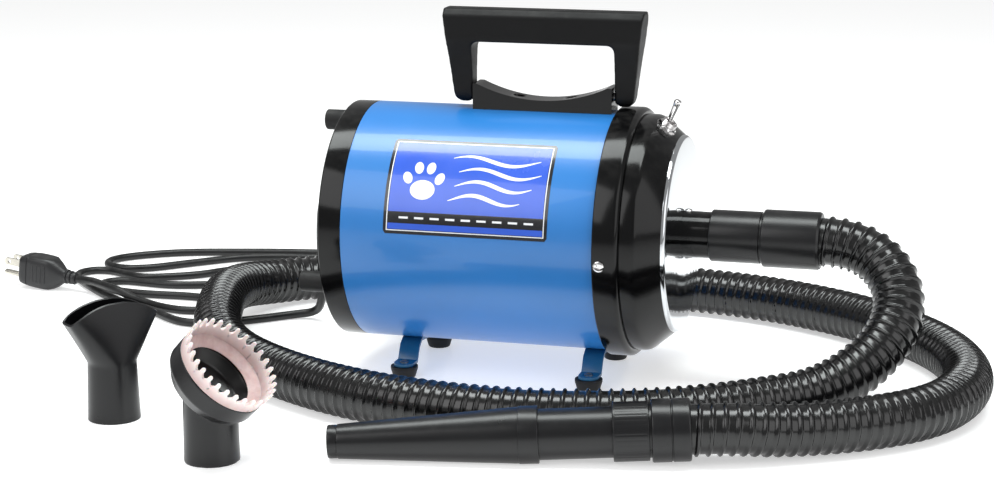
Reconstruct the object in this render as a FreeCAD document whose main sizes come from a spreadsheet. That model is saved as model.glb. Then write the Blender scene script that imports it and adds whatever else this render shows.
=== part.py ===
"""Canister pet dryer: a blower drum on legs, with its hose, nozzles and mains cord.

Frame: origin on the floor under the middle of the drum, +X along the drum's axis to the
outlet, +Y to the back, +Z up. Millimetres.
"""
import FreeCAD, Part
import math
import os

import Sketcher

Vector = FreeCAD.Vector
Rotation = FreeCAD.Rotation
X_AXIS = Vector(1, 0, 0)
Y_AXIS = Vector(0, 1, 0)
Z_AXIS = Vector(0, 0, 1)

os.makedirs("parts", exist_ok=True)
doc = FreeCAD.newDocument("PetDryer")

# ---------------------------------------------------------------- driving dimensions
DRIVING = {
    # drum
    "axis_height": 112.7, "shell_radius": 90.0, "shell_wall": 1.2, "shell_half": 95.25,
    "skin_gap": 0.1,
    # rear end
    "rear_band_width": 17.85, "band_lip_depth": 8.0, "band_lip_wall": 2.2,
    "grille_thickness": 2.5, "grille_inset": 1.5, "slot_width": 3.6,
    "slot_inner_start": 17.0, "slot_inner_end": 33.0,
    "slot_outer_start": 38.0, "slot_outer_end": 58.5,
    "rear_bumper_radius": 7.8, "rear_bumper_circle": 75.0, "rear_bumper_length": 23.5,
    "foam_thickness": 10.0,
    # front end
    "front_band_width": 19.05, "front_band_radius": 93.3,
    "dome_root_radius": 88.5, "dome_wall": 2.5, "dome_length": 30.6,
    "dome_brow_start": 9.9, "dome_brow_radius": 88.3, "dome_brow_corner": 9.0,
    "dome_rim_radius": 73.75,
    "face_radius": 73.7, "face_thickness": 3.3, "face_corner": 2.9,
    # outlet
    "outlet_radius": 17.3, "outlet_wall": 2.0, "outlet_end": 192.0, "outlet_flange": 24.0,
    # motor
    "shaft_radius": 5.0, "bearing_radius": 13.0, "bearing_width": 9.0,
    "field_radius": 46.0, "field_bore": 28.6, "field_length": 52.0,
    "armature_radius": 28.0, "impeller_radius": 62.0,
    # handle
    "handle_pivot_height": 213.6, "handle_middle": 37.8, "saddle_depth": 21.0,
    # legs
    "strap_width": 15.5, "strap_thickness": 2.2, "rear_leg_place": -61.1,
    "front_leg_place": 82.8, "foot_spread": 45.4, "foot_height": 9.0, "foot_radius": 10.4,
    # hose
    "hose_radius": 18.75, "hose_bore": 15.5, "wand_radius": 17.3, "socket_clearance": 0.1,
    # cord
    "cord_radius": 3.5,
}

sheet = doc.addObject("Spreadsheet::Sheet", "Dims")


class Size:
    """A length that carries its number and the sheet expression that gives it."""

    def __init__(self, number, text):
        self.number = float(number)
        self.text = text

    def _join(self, other, sign, number):
        other_text = other.text if isinstance(other, Size) else repr(float(other))
        return Size(number, "(%s %s %s)" % (self.text, sign, other_text))

    def __add__(self, other):
        return self._join(other, "+", self.number + value(other))

    def __sub__(self, other):
        return self._join(other, "-", self.number - value(other))

    def __mul__(self, other):
        return self._join(other, "*", self.number * value(other))

    def __neg__(self):
        return Size(-self.number, "(0 - %s)" % self.text)


def value(size):
    """The plain number of a Size or a number."""
    return size.number if isinstance(size, Size) else float(size)


class Sizes:
    """The sheet's aliases as attributes."""


size = Sizes()
for row, (alias, number) in enumerate(DRIVING.items(), start=1):
    sheet.set("A%d" % row, alias.replace("_", " "))
    sheet.set("B%d" % row, repr(number))
    sheet.setAlias("B%d" % row, alias)
    setattr(size, alias, Size(number, "Dims.%s" % alias))
doc.recompute()

AXIS_HEIGHT = DRIVING["axis_height"]
LEG_PLACES = (DRIVING["rear_leg_place"], DRIVING["front_leg_place"])
HANDLE_SCREW_PLACES = (DRIVING["handle_middle"] - 20.0, DRIVING["handle_middle"] + 20.0)
ON_AXIS = FreeCAD.Placement(Vector(0, 0, AXIS_HEIGHT), Rotation())
sub_parts = []


def bind(thing, path, amount):
    """Set a property from a number, and tie it to the sheet when it is a Size."""
    if isinstance(amount, Size):
        thing.setExpression(path, amount.text)
    else:
        setattr(thing, path, amount)


def place(thing, placement):
    """Place an object; one on the drum's axis follows the axis height in the sheet."""
    thing.Placement = placement
    if placement is ON_AXIS:
        thing.setExpression("Placement.Base.z", "Dims.axis_height")


def keep(thing, label):
    """Name a finished sub-part and list it for export."""
    thing.Label = label
    sub_parts.append(thing)
    return thing


# ---------------------------------------------------------------- sketches and bodies
def origin_plane(body, role):
    """One of a body's own origin planes."""
    return [item for item in body.Origin.OriginFeatures if item.Role == role][0]


def closed_sketch(body, role, points):
    """A closed outline of straight sides whose corners are tied to the sheet."""
    sketch = body.newObject("Sketcher::SketchObject", body.Name + "_outline")
    sketch.AttachmentSupport = [(origin_plane(body, role), "")]
    sketch.MapMode = "FlatFace"
    count = len(points)
    for index in range(count):
        start = points[index]
        end = points[(index + 1) % count]
        start_point = Vector(value(start[0]), value(start[1]), 0)
        end_point = Vector(value(end[0]), value(end[1]), 0)
        sketch.addGeometry(Part.LineSegment(start_point, end_point), False)
    for index in range(count):
        sketch.addConstraint(Sketcher.Constraint("Coincident", index, 2, (index + 1) % count, 1))
    for index, point in enumerate(points):
        for kind, amount in zip(("DistanceX", "DistanceY"), point):
            number = value(amount)
            constraint = Sketcher.Constraint(kind, -1, 1, index, 1, number)
            place_in_list = sketch.addConstraint(constraint)
            if isinstance(amount, Size):
                sketch.setExpression("Constraints[%d]" % place_in_list, amount.text)
    return sketch


def new_body(name):
    """An empty body of its own."""
    return doc.addObject("PartDesign::Body", name)


def turned_body(name, outline, placement=ON_AXIS):
    """A body turned about its X axis from (x, radius) points."""
    body = new_body(name)
    sketch = closed_sketch(body, "XZ_Plane", outline)
    turn = body.newObject("PartDesign::Revolution", name + "_turn")
    turn.Profile = sketch
    turn.ReferenceAxis = (sketch, ["H_Axis"])
    turn.Angle = 360
    place(body, placement)
    doc.recompute()
    return body


def padded_body(name, role, outline, length, placement, middle=True):
    """A body padded from an outline on one of its origin planes."""
    body = new_body(name)
    sketch = closed_sketch(body, role, outline)
    pad = body.newObject("PartDesign::Pad", name + "_pad")
    pad.Profile = sketch
    bind(pad, "Length", length)
    pad.Midplane = middle
    place(body, placement)
    doc.recompute()
    return body


def matching_edges(feature, test):
    """Names of a feature's edges whose middle point passes a test."""
    names = []
    for index, edge in enumerate(feature.Shape.Edges, start=1):
        middle = edge.valueAt((edge.FirstParameter + edge.LastParameter) / 2.0)
        if test(edge, middle):
            names.append("Edge%d" % index)
    return names


def round_edges(body, radius, test):
    """Add a fillet on the edges that pass the test, in the body's own frame."""
    base = body.Tip
    names = matching_edges(base, test)
    fillet = body.newObject("PartDesign::Fillet", body.Name + "_round%d" % len(body.Group))
    fillet.Base = (base, names)
    bind(fillet, "Radius", radius)
    doc.recompute()
    return fillet


def ring_at(position, radius, slack=0.05):
    """A test for the round edge at (x, radius) about the X axis."""
    def test(edge, middle):
        off = math.hypot(middle.y, middle.z)
        return abs(middle.x - value(position)) < slack and abs(off - value(radius)) < slack
    return test


def ring(name, start, end, outer, inner, placement=ON_AXIS):
    """A plain tube or disc about the X axis."""
    return turned_body(name, [(start, inner), (end, inner), (end, outer), (start, outer)], placement)


# ---------------------------------------------------------------- Part primitives
def cylinder(name, radius, length, base, direction, label=None):
    """A Part cylinder from a base point along a direction."""
    rod = doc.addObject("Part::Cylinder", name)
    bind(rod, "Radius", radius)
    bind(rod, "Height", length)
    rod.Placement = FreeCAD.Placement(base, Rotation(Z_AXIS, direction))
    if label:
        keep(rod, label)
    return rod


def box(name, length, width, height, corner):
    """A Part box from its lowest corner."""
    block = doc.addObject("Part::Box", name)
    bind(block, "Length", length)
    bind(block, "Width", width)
    bind(block, "Height", height)
    block.Placement = FreeCAD.Placement(corner, Rotation())
    return block


def cut(name, base, tool):
    """One shape less another."""
    result = doc.addObject("Part::Cut", name)
    result.Base = base
    result.Tool = tool
    return result


def fuse(name, things):
    """Several touching shapes as one solid."""
    result = doc.addObject("Part::MultiFuse", name)
    result.Shapes = things
    result.Refine = True
    return result


def group(name, things):
    """Separate solids that share a node."""
    result = doc.addObject("Part::Compound", name)
    result.Links = things
    return result


def polar(radius, degrees):
    """Y and Z of a point at an angle about the drum's axis; 0 points to the back."""
    turn = math.radians(degrees)
    return radius * math.cos(turn), radius * math.sin(turn)


def axis_point(x, radius, degrees):
    """A point at x, a radius and an angle about the drum's axis."""
    y, z = polar(radius, degrees)
    return Vector(x, y, AXIS_HEIGHT + z)


# ---------------------------------------------------------------- drum and rear end
def build_shell():
    inner = size.shell_radius - size.shell_wall
    body = ring("shell_tube", -size.shell_half, size.shell_half, size.shell_radius, inner)
    drills = []
    for number, x in enumerate(HANDLE_SCREW_PLACES):
        drills.append(cylinder("shell_drill%d" % number, 2.3, 30.0, Vector(x, 0, 185.0), Z_AXIS))
    for number, x in enumerate(LEG_PLACES):
        drills.append(cylinder("shell_drill_low%d" % number, 2.1, 30.0, Vector(x, 0, 10.0), Z_AXIS))
    return keep(cut("shell_cut", body, fuse("shell_drills", drills)), "shell")


def build_badge():
    """A thin rectangular plate that follows the drum's front side."""
    outer = size.shell_radius + 0.35
    body = ring("badge_ring", -61.8, 61.8, outer, size.shell_radius + 0.02)
    corner = Vector(-62.0, -100.0, AXIS_HEIGHT + 8.6)
    window = box("badge_window", 124.0, 100.0, 63.6, corner)
    plate = doc.addObject("Part::Common", "badge_plate")
    plate.Base = body
    plate.Tool = window
    return keep(plate, "shell_badge")


REAR_END = -(size.shell_half + size.rear_band_width)
GRILLE_BACK = REAR_END + size.grille_inset
GRILLE_FRONT = GRILLE_BACK + size.grille_thickness
LIP_RADIUS = size.shell_radius - size.shell_wall - size.skin_gap
BAND_BORE = LIP_RADIUS - size.band_lip_wall


def build_rear_band():
    lip_end = -size.shell_half + size.band_lip_depth
    outline = [
        (REAR_END, BAND_BORE), (lip_end, BAND_BORE), (lip_end, LIP_RADIUS),
        (-size.shell_half, LIP_RADIUS), (-size.shell_half, size.shell_radius),
        (REAR_END, size.shell_radius),
    ]
    body = turned_body("rear_band", outline)
    round_edges(body, 3.0, ring_at(REAR_END, size.shell_radius))
    return keep(body, "rear_band")


def slot_ring(body, name, start, end, count):
    """Radial slots through a disc, spread round the axis."""
    sketch = body.newObject("Sketcher::SketchObject", name)
    sketch.AttachmentSupport = [(origin_plane(body, "YZ_Plane"), "")]
    sketch.MapMode = "FlatFace"
    half = DRIVING["slot_width"] / 2.0
    corners = [(value(start), -half), (value(end), -half), (value(end), half), (value(start), half)]
    for index in range(4):
        first = Vector(corners[index][0], corners[index][1], 0)
        second = Vector(corners[(index + 1) % 4][0], corners[(index + 1) % 4][1], 0)
        sketch.addGeometry(Part.LineSegment(first, second), False)
    for index in range(4):
        sketch.addConstraint(Sketcher.Constraint("Coincident", index, 2, (index + 1) % 4, 1))
    ties = [(start, -(size.slot_width * 0.5)), (end, -(size.slot_width * 0.5)),
            (end, size.slot_width * 0.5), (start, size.slot_width * 0.5)]
    for index, tie in enumerate(ties):
        for kind, amount in zip(("DistanceX", "DistanceY"), tie):
            number = sketch.addConstraint(
                Sketcher.Constraint(kind, -1, 1, index, 1, value(amount)))
            sketch.setExpression("Constraints[%d]" % number, amount.text)
    pocket = body.newObject("PartDesign::Pocket", name + "_pocket")
    pocket.Profile = sketch
    pocket.Type = "ThroughAll"
    pocket.Midplane = True
    doc.recompute()
    pattern = body.newObject("PartDesign::PolarPattern", name + "_pattern")
    pattern.Originals = [pocket]
    pattern.Axis = (sketch, ["N_Axis"])
    pattern.Angle = 360
    pattern.Occurrences = count
    body.Tip = pattern
    doc.recompute()
    return pattern


GLAND_CIRCLE = 70.7
GLAND_ANGLE = 8.0
GLAND_RADIUS = 7.0


def build_grille():
    body = ring("grille_disc", GRILLE_BACK, GRILLE_FRONT, BAND_BORE - size.skin_gap, 6.0)
    before = body.Shape.Volume
    slot_ring(body, "inner_slots", size.slot_inner_start, size.slot_inner_end, 12)
    slot_ring(body, "outer_slots", size.slot_outer_start, size.slot_outer_end, 30)
    print("grille open share %.2f" % (1.0 - body.Shape.Volume / before))
    hole_base = axis_point(REAR_END.number - 5.0, GLAND_CIRCLE, GLAND_ANGLE)
    hole = cylinder("gland_hole", GLAND_RADIUS - 1.5, 20.0, hole_base, X_AXIS)
    return keep(cut("grille_cut", body, hole), "intake_grille")


def build_rear_bumpers():
    bumpers = []
    for number, angle in enumerate((90, 210, 330)):
        spot = axis_point(0, DRIVING["rear_bumper_circle"], angle)
        length = size.rear_bumper_length
        radius = size.rear_bumper_radius
        outline = [
            (GRILLE_BACK, 0), (GRILLE_BACK, radius), (GRILLE_BACK - length, radius),
            (GRILLE_BACK - length, 3.4), (GRILLE_BACK - length + 2.5, 3.4),
            (GRILLE_BACK - length + 2.5, 0),
        ]
        body = turned_body("rear_bumper%d" % number, outline, FreeCAD.Placement(spot, Rotation()))
        round_edges(body, 1.5, ring_at(GRILLE_BACK - length, radius))
        bumpers.append(body)
    return keep(group("rear_bumper_group", bumpers), "rear_bumpers")


def build_filter():
    start = GRILLE_FRONT + size.skin_gap
    end = start + size.foam_thickness
    keep(ring("foam_disc", start, end, BAND_BORE - size.skin_gap, 6.0), "intake_filter")


# ---------------------------------------------------------------- front end
BAND_END = size.shell_half + size.front_band_width
FACE_X = BAND_END + size.dome_length
FACE_BACK = FACE_X - size.face_thickness
OUTLET_SCREW_X = 148.0
TOGGLE_X = 131.8
TOGGLE_CIRCLE = 81.55
TOGGLE_ANGLE = 97.0
TOGGLE_TILT = 39.9
BUSHING_RADIUS = 5.9
TOGGLE_SEAT = axis_point(TOGGLE_X, TOGGLE_CIRCLE, TOGGLE_ANGLE)
TOGGLE_LEAN = polar(math.cos(math.radians(TOGGLE_TILT)), TOGGLE_ANGLE)
TOGGLE_AXIS = Vector(math.sin(math.radians(TOGGLE_TILT)), *TOGGLE_LEAN)
TOGGLE_HINGE = Vector(0, *polar(1.0, TOGGLE_ANGLE - 90.0))


def along_toggle(distance):
    """A point on the toggle switch's own axis."""
    return TOGGLE_SEAT + TOGGLE_AXIS * distance


def build_front_band():
    lip_end = size.shell_half - size.band_lip_depth
    outline = [
        (lip_end, BAND_BORE), (BAND_END, BAND_BORE), (BAND_END, size.front_band_radius),
        (size.shell_half, size.front_band_radius), (size.shell_half, LIP_RADIUS),
        (lip_end, LIP_RADIUS),
    ]
    body = turned_body("front_ring", outline)
    round_edges(body, 4.4, ring_at(BAND_END, size.front_band_radius))
    round_edges(body, 1.2, ring_at(size.shell_half, size.front_band_radius))
    holes = fuse("band_screw_holes", band_screw_rods("band_hole", 2.1, 80.0, 20.0))
    return keep(cut("front_band_cut", body, holes), "front_band")


def band_screw_rods(name, radius, start, length):
    rods = []
    for number, angle in enumerate((184.0, 304.0, 64.0)):
        base = axis_point(100.9, start, angle)
        direction = base - axis_point(100.9, 0, angle)
        rods.append(cylinder("%s%d" % (name, number), radius, length, base, direction))
    return rods


def build_band_screws():
    """Cross-head screws whose heads sit on the band's outside."""
    screws = []
    shanks = band_screw_rods("band_shank", 2.0, 84.0, 9.3)
    heads = band_screw_rods("band_head", 3.9, 93.3, 1.7)
    for number, (shank, head) in enumerate(zip(shanks, heads)):
        solid = fuse("band_screw%d" % number, [shank, head])
        screws.append(solid)
    return keep(group("band_screw_group", screws), "band_screws")


def build_dome():
    wall = size.dome_wall
    spigot = BAND_BORE - size.skin_gap
    spigot_start = BAND_END - 8.0
    brow = BAND_END + size.dome_brow_start
    inner_brow = brow - 1.6
    inner_brow_radius = size.dome_brow_radius - 2.3
    outline = [
        (BAND_END, size.dome_root_radius),
        (brow, size.dome_brow_radius),
        (FACE_BACK, size.dome_rim_radius),
        (FACE_BACK, size.outlet_radius + 0.1),
        (FACE_BACK - wall, size.outlet_radius + 0.1),
        (FACE_BACK - wall, size.dome_rim_radius - 1.55),
        (inner_brow, inner_brow_radius),
        (BAND_END, spigot - wall),
        (spigot_start, spigot - wall),
        (spigot_start, spigot),
        (BAND_END, spigot),
    ]
    body = turned_body("dome", outline)
    round_edges(body, size.dome_brow_corner, ring_at(brow, size.dome_brow_radius))
    round_edges(body, size.dome_brow_corner - wall, ring_at(inner_brow, inner_brow_radius))
    hole = cylinder("toggle_hole", BUSHING_RADIUS + 0.15, 30.0, along_toggle(-20.0), TOGGLE_AXIS)
    seat = cylinder("toggle_seat", 9.0, 6.0, along_toggle(0.0), TOGGLE_AXIS)
    tools = fuse("toggle_tools", [hole, seat])
    return keep(cut("dome_cut", body, tools), "front_dome")


def build_face_plate():
    """The bright cap on the dome's end, with a rounded rim and a bore for the outlet."""
    body = ring("face_disc", FACE_BACK + 0.02, FACE_X, size.face_radius,
                size.outlet_radius + 0.15)
    round_edges(body, size.face_corner, ring_at(FACE_X, size.face_radius))
    return keep(body, "face_plate")


def build_outlet():
    back = FACE_BACK - size.dome_wall - 0.05
    inner = size.outlet_radius - size.outlet_wall
    outline = [
        (back - 2.0, inner), (size.outlet_end, inner), (size.outlet_end, size.outlet_radius),
        (back, size.outlet_radius), (back, size.outlet_flange), (back - 2.0, size.outlet_flange),
    ]
    body = turned_body("outlet", outline)
    round_edges(body, 0.8, ring_at(size.outlet_end, size.outlet_radius))
    holes = []
    for number, direction in enumerate((Z_AXIS, -Z_AXIS)):
        base = Vector(OUTLET_SCREW_X, 0, AXIS_HEIGHT) + direction * 10.0
        holes.append(cylinder("outlet_hole%d" % number, 1.6, 12.0, base, direction))
    return keep(cut("outlet_cut", body, fuse("outlet_holes", holes)), "outlet_tube")


def build_outlet_screws():
    screws = []
    for number, direction in enumerate((Z_AXIS, -Z_AXIS)):
        centre = Vector(OUTLET_SCREW_X, 0, AXIS_HEIGHT)
        shank = cylinder("outlet_shank%d" % number, 1.5, 3.4, centre + direction * 14.0, direction)
        head = cylinder("outlet_head%d" % number, 2.7, 1.9, centre + direction * 17.35, direction)
        screws.append(fuse("outlet_screw%d" % number, [shank, head]))
    return keep(group("outlet_screw_group", screws), "outlet_screws")


# ---------------------------------------------------------------- toggle switch
LEVER_PIVOT_DEPTH = 1.5
LEVER_REST_TURN = 16.0
LEVER_LENGTH = 22.5
LEVER_PIN_LENGTH = 7.0


def build_switch():
    """Body under the dome, threaded bushing, toothed washer and nut on top."""
    spin = Rotation(Z_AXIS, TOGGLE_AXIS)
    case = doc.addObject("Part::Box", "switch_case")
    case.Length = 13.0
    case.Width = 28.0
    case.Height = 18.0
    case.Placement = FreeCAD.Placement(along_toggle(-26.0) - spin.multVec(Vector(6.5, 14.0, 0)), spin)
    keep(case, "switch_body")
    tube_outer = cylinder("bushing_outer", BUSHING_RADIUS, 14.7, along_toggle(-7.95), TOGGLE_AXIS)
    tube_inner = cylinder("bushing_inner", 4.2, 15.0, along_toggle(-4.5), TOGGLE_AXIS)
    keep(cut("bushing", tube_outer, tube_inner), "switch_bushing")
    washer_outer = cylinder("washer_outer", 8.2, 0.9, along_toggle(0.02), TOGGLE_AXIS)
    washer_inner = cylinder("washer_inner", BUSHING_RADIUS + 0.1, 2.0, along_toggle(-0.5), TOGGLE_AXIS)
    washer = cut("washer", washer_outer, washer_inner)
    teeth = []
    for number in range(12):
        turn = Rotation(TOGGLE_AXIS, number * 30.0)
        reach = turn.multVec(spin.multVec(Vector(8.4, 0, 0)))
        teeth.append(cylinder("washer_gap%d" % number, 0.7, 2.0, along_toggle(-0.5) + reach, TOGGLE_AXIS))
    keep(cut("toothed_washer", washer, fuse("washer_gaps", teeth)), "switch_washer")
    hexagon = doc.addObject("Part::Prism", "nut_prism")
    hexagon.Polygon = 6
    hexagon.Circumradius = 7.6
    hexagon.Height = 2.6
    hexagon.Placement = FreeCAD.Placement(along_toggle(0.95), spin)
    nut_hole = cylinder("nut_hole", BUSHING_RADIUS + 0.05, 5.0, along_toggle(0.0), TOGGLE_AXIS)
    keep(cut("nut", hexagon, nut_hole), "switch_nut")


def build_lever():
    """The bat lever and its cross pin, at the rest throw towards the drum's middle."""
    direction = Rotation(TOGGLE_HINGE, -LEVER_REST_TURN).multVec(TOGGLE_AXIS)
    pivot = along_toggle(LEVER_PIVOT_DEPTH)
    outline = [(-3.2, 0), (-3.2, 1.4), (0, 1.6), (LEVER_LENGTH - 3.0, 2.6),
               (LEVER_LENGTH - 0.8, 2.9), (LEVER_LENGTH, 1.6), (LEVER_LENGTH, 0)]
    placement = FreeCAD.Placement(pivot, Rotation(X_AXIS, direction))
    bat = turned_body("lever", outline, placement)
    pin_start = pivot - TOGGLE_HINGE * (LEVER_PIN_LENGTH / 2.0)
    pin = cylinder("lever_pin", 1.9, LEVER_PIN_LENGTH, pin_start, TOGGLE_HINGE)
    return keep(fuse("lever_solid", [bat, pin]), "switch_lever")


# ---------------------------------------------------------------- handle
PIVOT_Z = DRIVING["handle_pivot_height"]
HANDLE_MIDDLE = DRIVING["handle_middle"]
SADDLE_HALF = 53.4


def build_handle_grip():
    """A trapezoid grip, one moulding: its front outline meets a side outline that slims the legs."""
    top = 63.7
    crossbar = 39.2
    front = [
        (-77.3, top), (77.0, top), (69.2, -1.0), (68.0, -4.4), (64.6, -7.0), (58.2, -7.0),
        (54.6, -4.0), (54.4, crossbar), (-54.6, crossbar), (-54.4, -4.0), (-58.2, -7.0),
        (-64.6, -7.0), (-68.0, -4.4), (-69.2, -1.0),
    ]
    side = [
        (2.8, -7.0), (5.8, -4.4), (7.0, 0), (7.6, 14.0), (9.2, 28.0), (12.0, 41.0),
        (12.0, top - 5.0), (7.0, top), (-7.0, top), (-12.0, top - 5.0), (-12.0, 41.0),
        (-9.2, 28.0), (-7.6, 14.0), (-7.0, 0), (-5.8, -4.4), (-2.8, -7.0),
    ]
    placement = FreeCAD.Placement(Vector(HANDLE_MIDDLE, 0, PIVOT_Z), Rotation())
    body = padded_body("grip_front", "XZ_Plane", front, 60.0, placement)

    def inner_corner(edge, middle):
        return abs(abs(middle.x) - 54.5) < 0.3 and abs(middle.z - crossbar) < 0.1

    round_edges(body, 5.0, inner_corner)
    profile = padded_body("grip_side", "YZ_Plane", side, 200.0, placement)
    solid = doc.addObject("Part::Common", "grip_solid")
    solid.Base = body
    solid.Tool = profile
    bores = []
    for number, way in enumerate((-1, 1)):
        base = Vector(HANDLE_MIDDLE + way * 50.0, 0, PIVOT_Z)
        bores.append(cylinder("grip_bore%d" % number, 3.05, 14.0, base, X_AXIS * way))
    return keep(cut("grip_cut", solid, fuse("grip_bores", bores)), "handle_grip")


def build_saddle():
    """The dished block between the handle's legs, seated on the drum."""
    depth = DRIVING["saddle_depth"]
    ends = PIVOT_Z + 7.8
    block = box("saddle_block", 2 * SADDLE_HALF, depth, ends - 190.0,
                Vector(HANDLE_MIDDLE - SADDLE_HALF, -depth / 2.0, 190.0))
    dish_depth = 11.0
    dish_half = 50.0
    dish_radius = (dish_half ** 2 + dish_depth ** 2) / (2 * dish_depth)
    dish_centre = Vector(HANDLE_MIDDLE, -20.0, ends - dish_depth + dish_radius)
    dish = cylinder("saddle_dish", dish_radius, 40.0, dish_centre, Y_AXIS)
    drum = cylinder("saddle_seat", size.shell_radius + 0.05, 400.0,
                    Vector(-200.0, 0, AXIS_HEIGHT), X_AXIS)
    band = cylinder("saddle_band", size.front_band_radius + 0.3, 60.0,
                    Vector(DRIVING["shell_half"] - 0.8, 0, AXIS_HEIGHT), X_AXIS)
    pins = []
    for number, side in enumerate((-1, 1)):
        base = Vector(HANDLE_MIDDLE + side * 41.0, 0, PIVOT_Z)
        pins.append(cylinder("saddle_bore%d" % number, 3.0, 14.0, base, X_AXIS * side))
    wells = []
    for number, x in enumerate(HANDLE_SCREW_PLACES):
        wells.append(cylinder("saddle_well%d" % number, 2.2, 40.0, Vector(x, 0, 195.0), Z_AXIS))
        seat = Vector(x, 0, SADDLE_HEAD_SEAT)
        wells.append(cylinder("saddle_counter%d" % number, 4.4, 30.0, seat, Z_AXIS))
    tools = fuse("saddle_tools", [dish, drum, band] + pins + wells)
    return keep(cut("saddle_cut", block, tools), "handle_saddle")


SADDLE_HEAD_SEAT = 207.0
HANDLE_SHANK = 13.0


def build_handle_fixings():
    pins = []
    screws = []
    for number, way in enumerate((-1, 1)):
        base = Vector(HANDLE_MIDDLE + way * 41.0, 0, PIVOT_Z)
        pins.append(cylinder("handle_pin%d" % number, 3.0, 22.5, base, X_AXIS * way))
    for number, x in enumerate(HANDLE_SCREW_PLACES):
        low = Vector(x, 0, SADDLE_HEAD_SEAT - HANDLE_SHANK)
        shank = cylinder("handle_shank%d" % number, 2.1, HANDLE_SHANK, low, Z_AXIS)
        head = cylinder("handle_head%d" % number, 4.0, 2.2, Vector(x, 0, SADDLE_HEAD_SEAT), Z_AXIS)
        screws.append(fuse("handle_screw%d" % number, [shank, head]))
    keep(group("handle_pin_group", pins), "handle_pins")
    keep(group("handle_screw_group", screws), "handle_screws")


# ---------------------------------------------------------------- legs and feet
def strap_profile():
    """Corner points (y, z) of half a strap: under the drum, then out and down to the tab."""
    spread = DRIVING["foot_spread"]
    tab = DRIVING["foot_height"]
    thick = DRIVING["strap_thickness"]
    lift = AXIS_HEIGHT - DRIVING["shell_radius"]
    upper = [(0, lift - 0.1), (24.0, lift + 2.9), (31.0, lift - 1.2), (spread - 8.5, tab + thick),
             (spread + 7.8, tab + thick)]
    lower = [(spread + 7.8, tab), (spread - 9.5, tab), (30.0, lift - 3.6), (24.0, lift + 0.4),
             (0, lift - 0.1 - thick)]
    return upper, lower


def build_strap(label, x):
    upper, lower = strap_profile()
    mirrored = [(-y, z) for y, z in reversed(upper[1:])]
    mirrored_lower = [(-y, z) for y, z in reversed(lower[:-1])]
    outline = upper + lower + mirrored_lower + mirrored
    placement = FreeCAD.Placement(Vector(x, 0, 0), Rotation())
    body = padded_body(label + "_bar", "YZ_Plane", outline, size.strap_width, placement)
    reach = DRIVING["foot_spread"] + 7.8

    def tab_corner(edge, middle):
        return abs(abs(middle.y) - reach) < 0.05 and edge.Length < 3.0

    round_edges(body, DRIVING["strap_width"] / 2.0 - 0.15, tab_corner)
    drum = cylinder(label + "_drum", size.shell_radius + 0.05, 400.0,
                    Vector(-200.0, 0, AXIS_HEIGHT), X_AXIS)
    holes = [cylinder(label + "_middle", 2.1, 12.0, Vector(x, 0, 15.0), Z_AXIS)]
    for side in (-1, 1):
        base = Vector(x, side * DRIVING["foot_spread"], 5.0)
        holes.append(cylinder("%s_hole%d" % (label, side + 1), 1.9, 12.0, base, Z_AXIS))
    tools = fuse(label + "_tools", [drum] + holes)
    return keep(cut(label + "_cut", body, tools), label)


def build_strap_screws():
    """One screw up through the middle of each strap into the drum."""
    lowest = AXIS_HEIGHT - DRIVING["shell_radius"] - 0.1 - DRIVING["strap_thickness"]
    screws = []
    for number, x in enumerate(LEG_PLACES):
        head = cylinder("strap_head%d" % number, 3.6, 1.8, Vector(x, 0, lowest - 1.8), Z_AXIS)
        shank = cylinder("strap_shank%d" % number, 1.9, 9.0, Vector(x, 0, lowest - 0.5), Z_AXIS)
        screws.append(fuse("strap_screw%d" % number, [head, shank]))
    return keep(group("strap_screw_group", screws), "strap_screws")


def build_feet():
    feet = []
    screws = []
    height = size.foot_height
    radius = size.foot_radius
    for x in LEG_PLACES:
        for side in (-1, 1):
            name = "foot_%d_%d" % (int(x), side + 1)
            outline = [(0, 2.0), (0, radius - 2.0), (height - 2.2, radius), (height, radius),
                       (height, 2.0)]
            spot = Vector(x, side * DRIVING["foot_spread"], 0)
            body = turned_body(name, outline, FreeCAD.Placement(spot, Rotation(X_AXIS, Z_AXIS)))
            round_edges(body, 1.8, ring_at(0, radius - 2.0))
            feet.append(body)
            top = DRIVING["foot_height"] + DRIVING["strap_thickness"]
            shank = cylinder(name + "_shank", 1.8, top - 3.0, spot + Vector(0, 0, 3.0), Z_AXIS)
            head = cylinder(name + "_head", 3.3, 1.6, spot + Vector(0, 0, top), Z_AXIS)
            screws.append(fuse(name + "_screw", [shank, head]))
    keep(group("feet_group", feet), "rubber_feet")
    keep(group("foot_screw_group", screws), "foot_screws")


# ---------------------------------------------------------------- motor and blower
FAN_START = -80.0
FAN_END = -34.0


def blade_ring(name, hub, start, count, inner, outer, depth):
    """Straight blades round a hub disc, as one body pattern."""
    blades = []
    for number in range(count):
        blade = doc.addObject("Part::Box", "%s_blade%d" % (name, number))
        blade.Length = depth
        blade.Width = 1.6
        blade.Height = outer - inner
        lean = Rotation(X_AXIS, number * 360.0 / count)
        tilt = Rotation(X_AXIS, 28.0)
        foot = lean.multVec(Vector(0, -0.8, inner))
        blade.Placement = FreeCAD.Placement(Vector(start, 0, AXIS_HEIGHT) + foot, lean.multiply(tilt))
        blades.append(blade)
    return fuse(name + "_fused", [hub] + blades)


def build_impeller(label, start):
    """A back plate, hub and leaning blades."""
    outer = size.impeller_radius
    hub = turned_body(label + "_hub", [
        (start, size.shaft_radius), (start, 12.0), (start + 8.5, 12.0), (start + 8.5, outer),
        (start + 10.0, outer), (start + 10.0, size.shaft_radius)])
    wheel = blade_ring(label, hub, start + 0.5, 9, 16.0, 54.0, 8.2)
    return keep(wheel, label)


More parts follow.
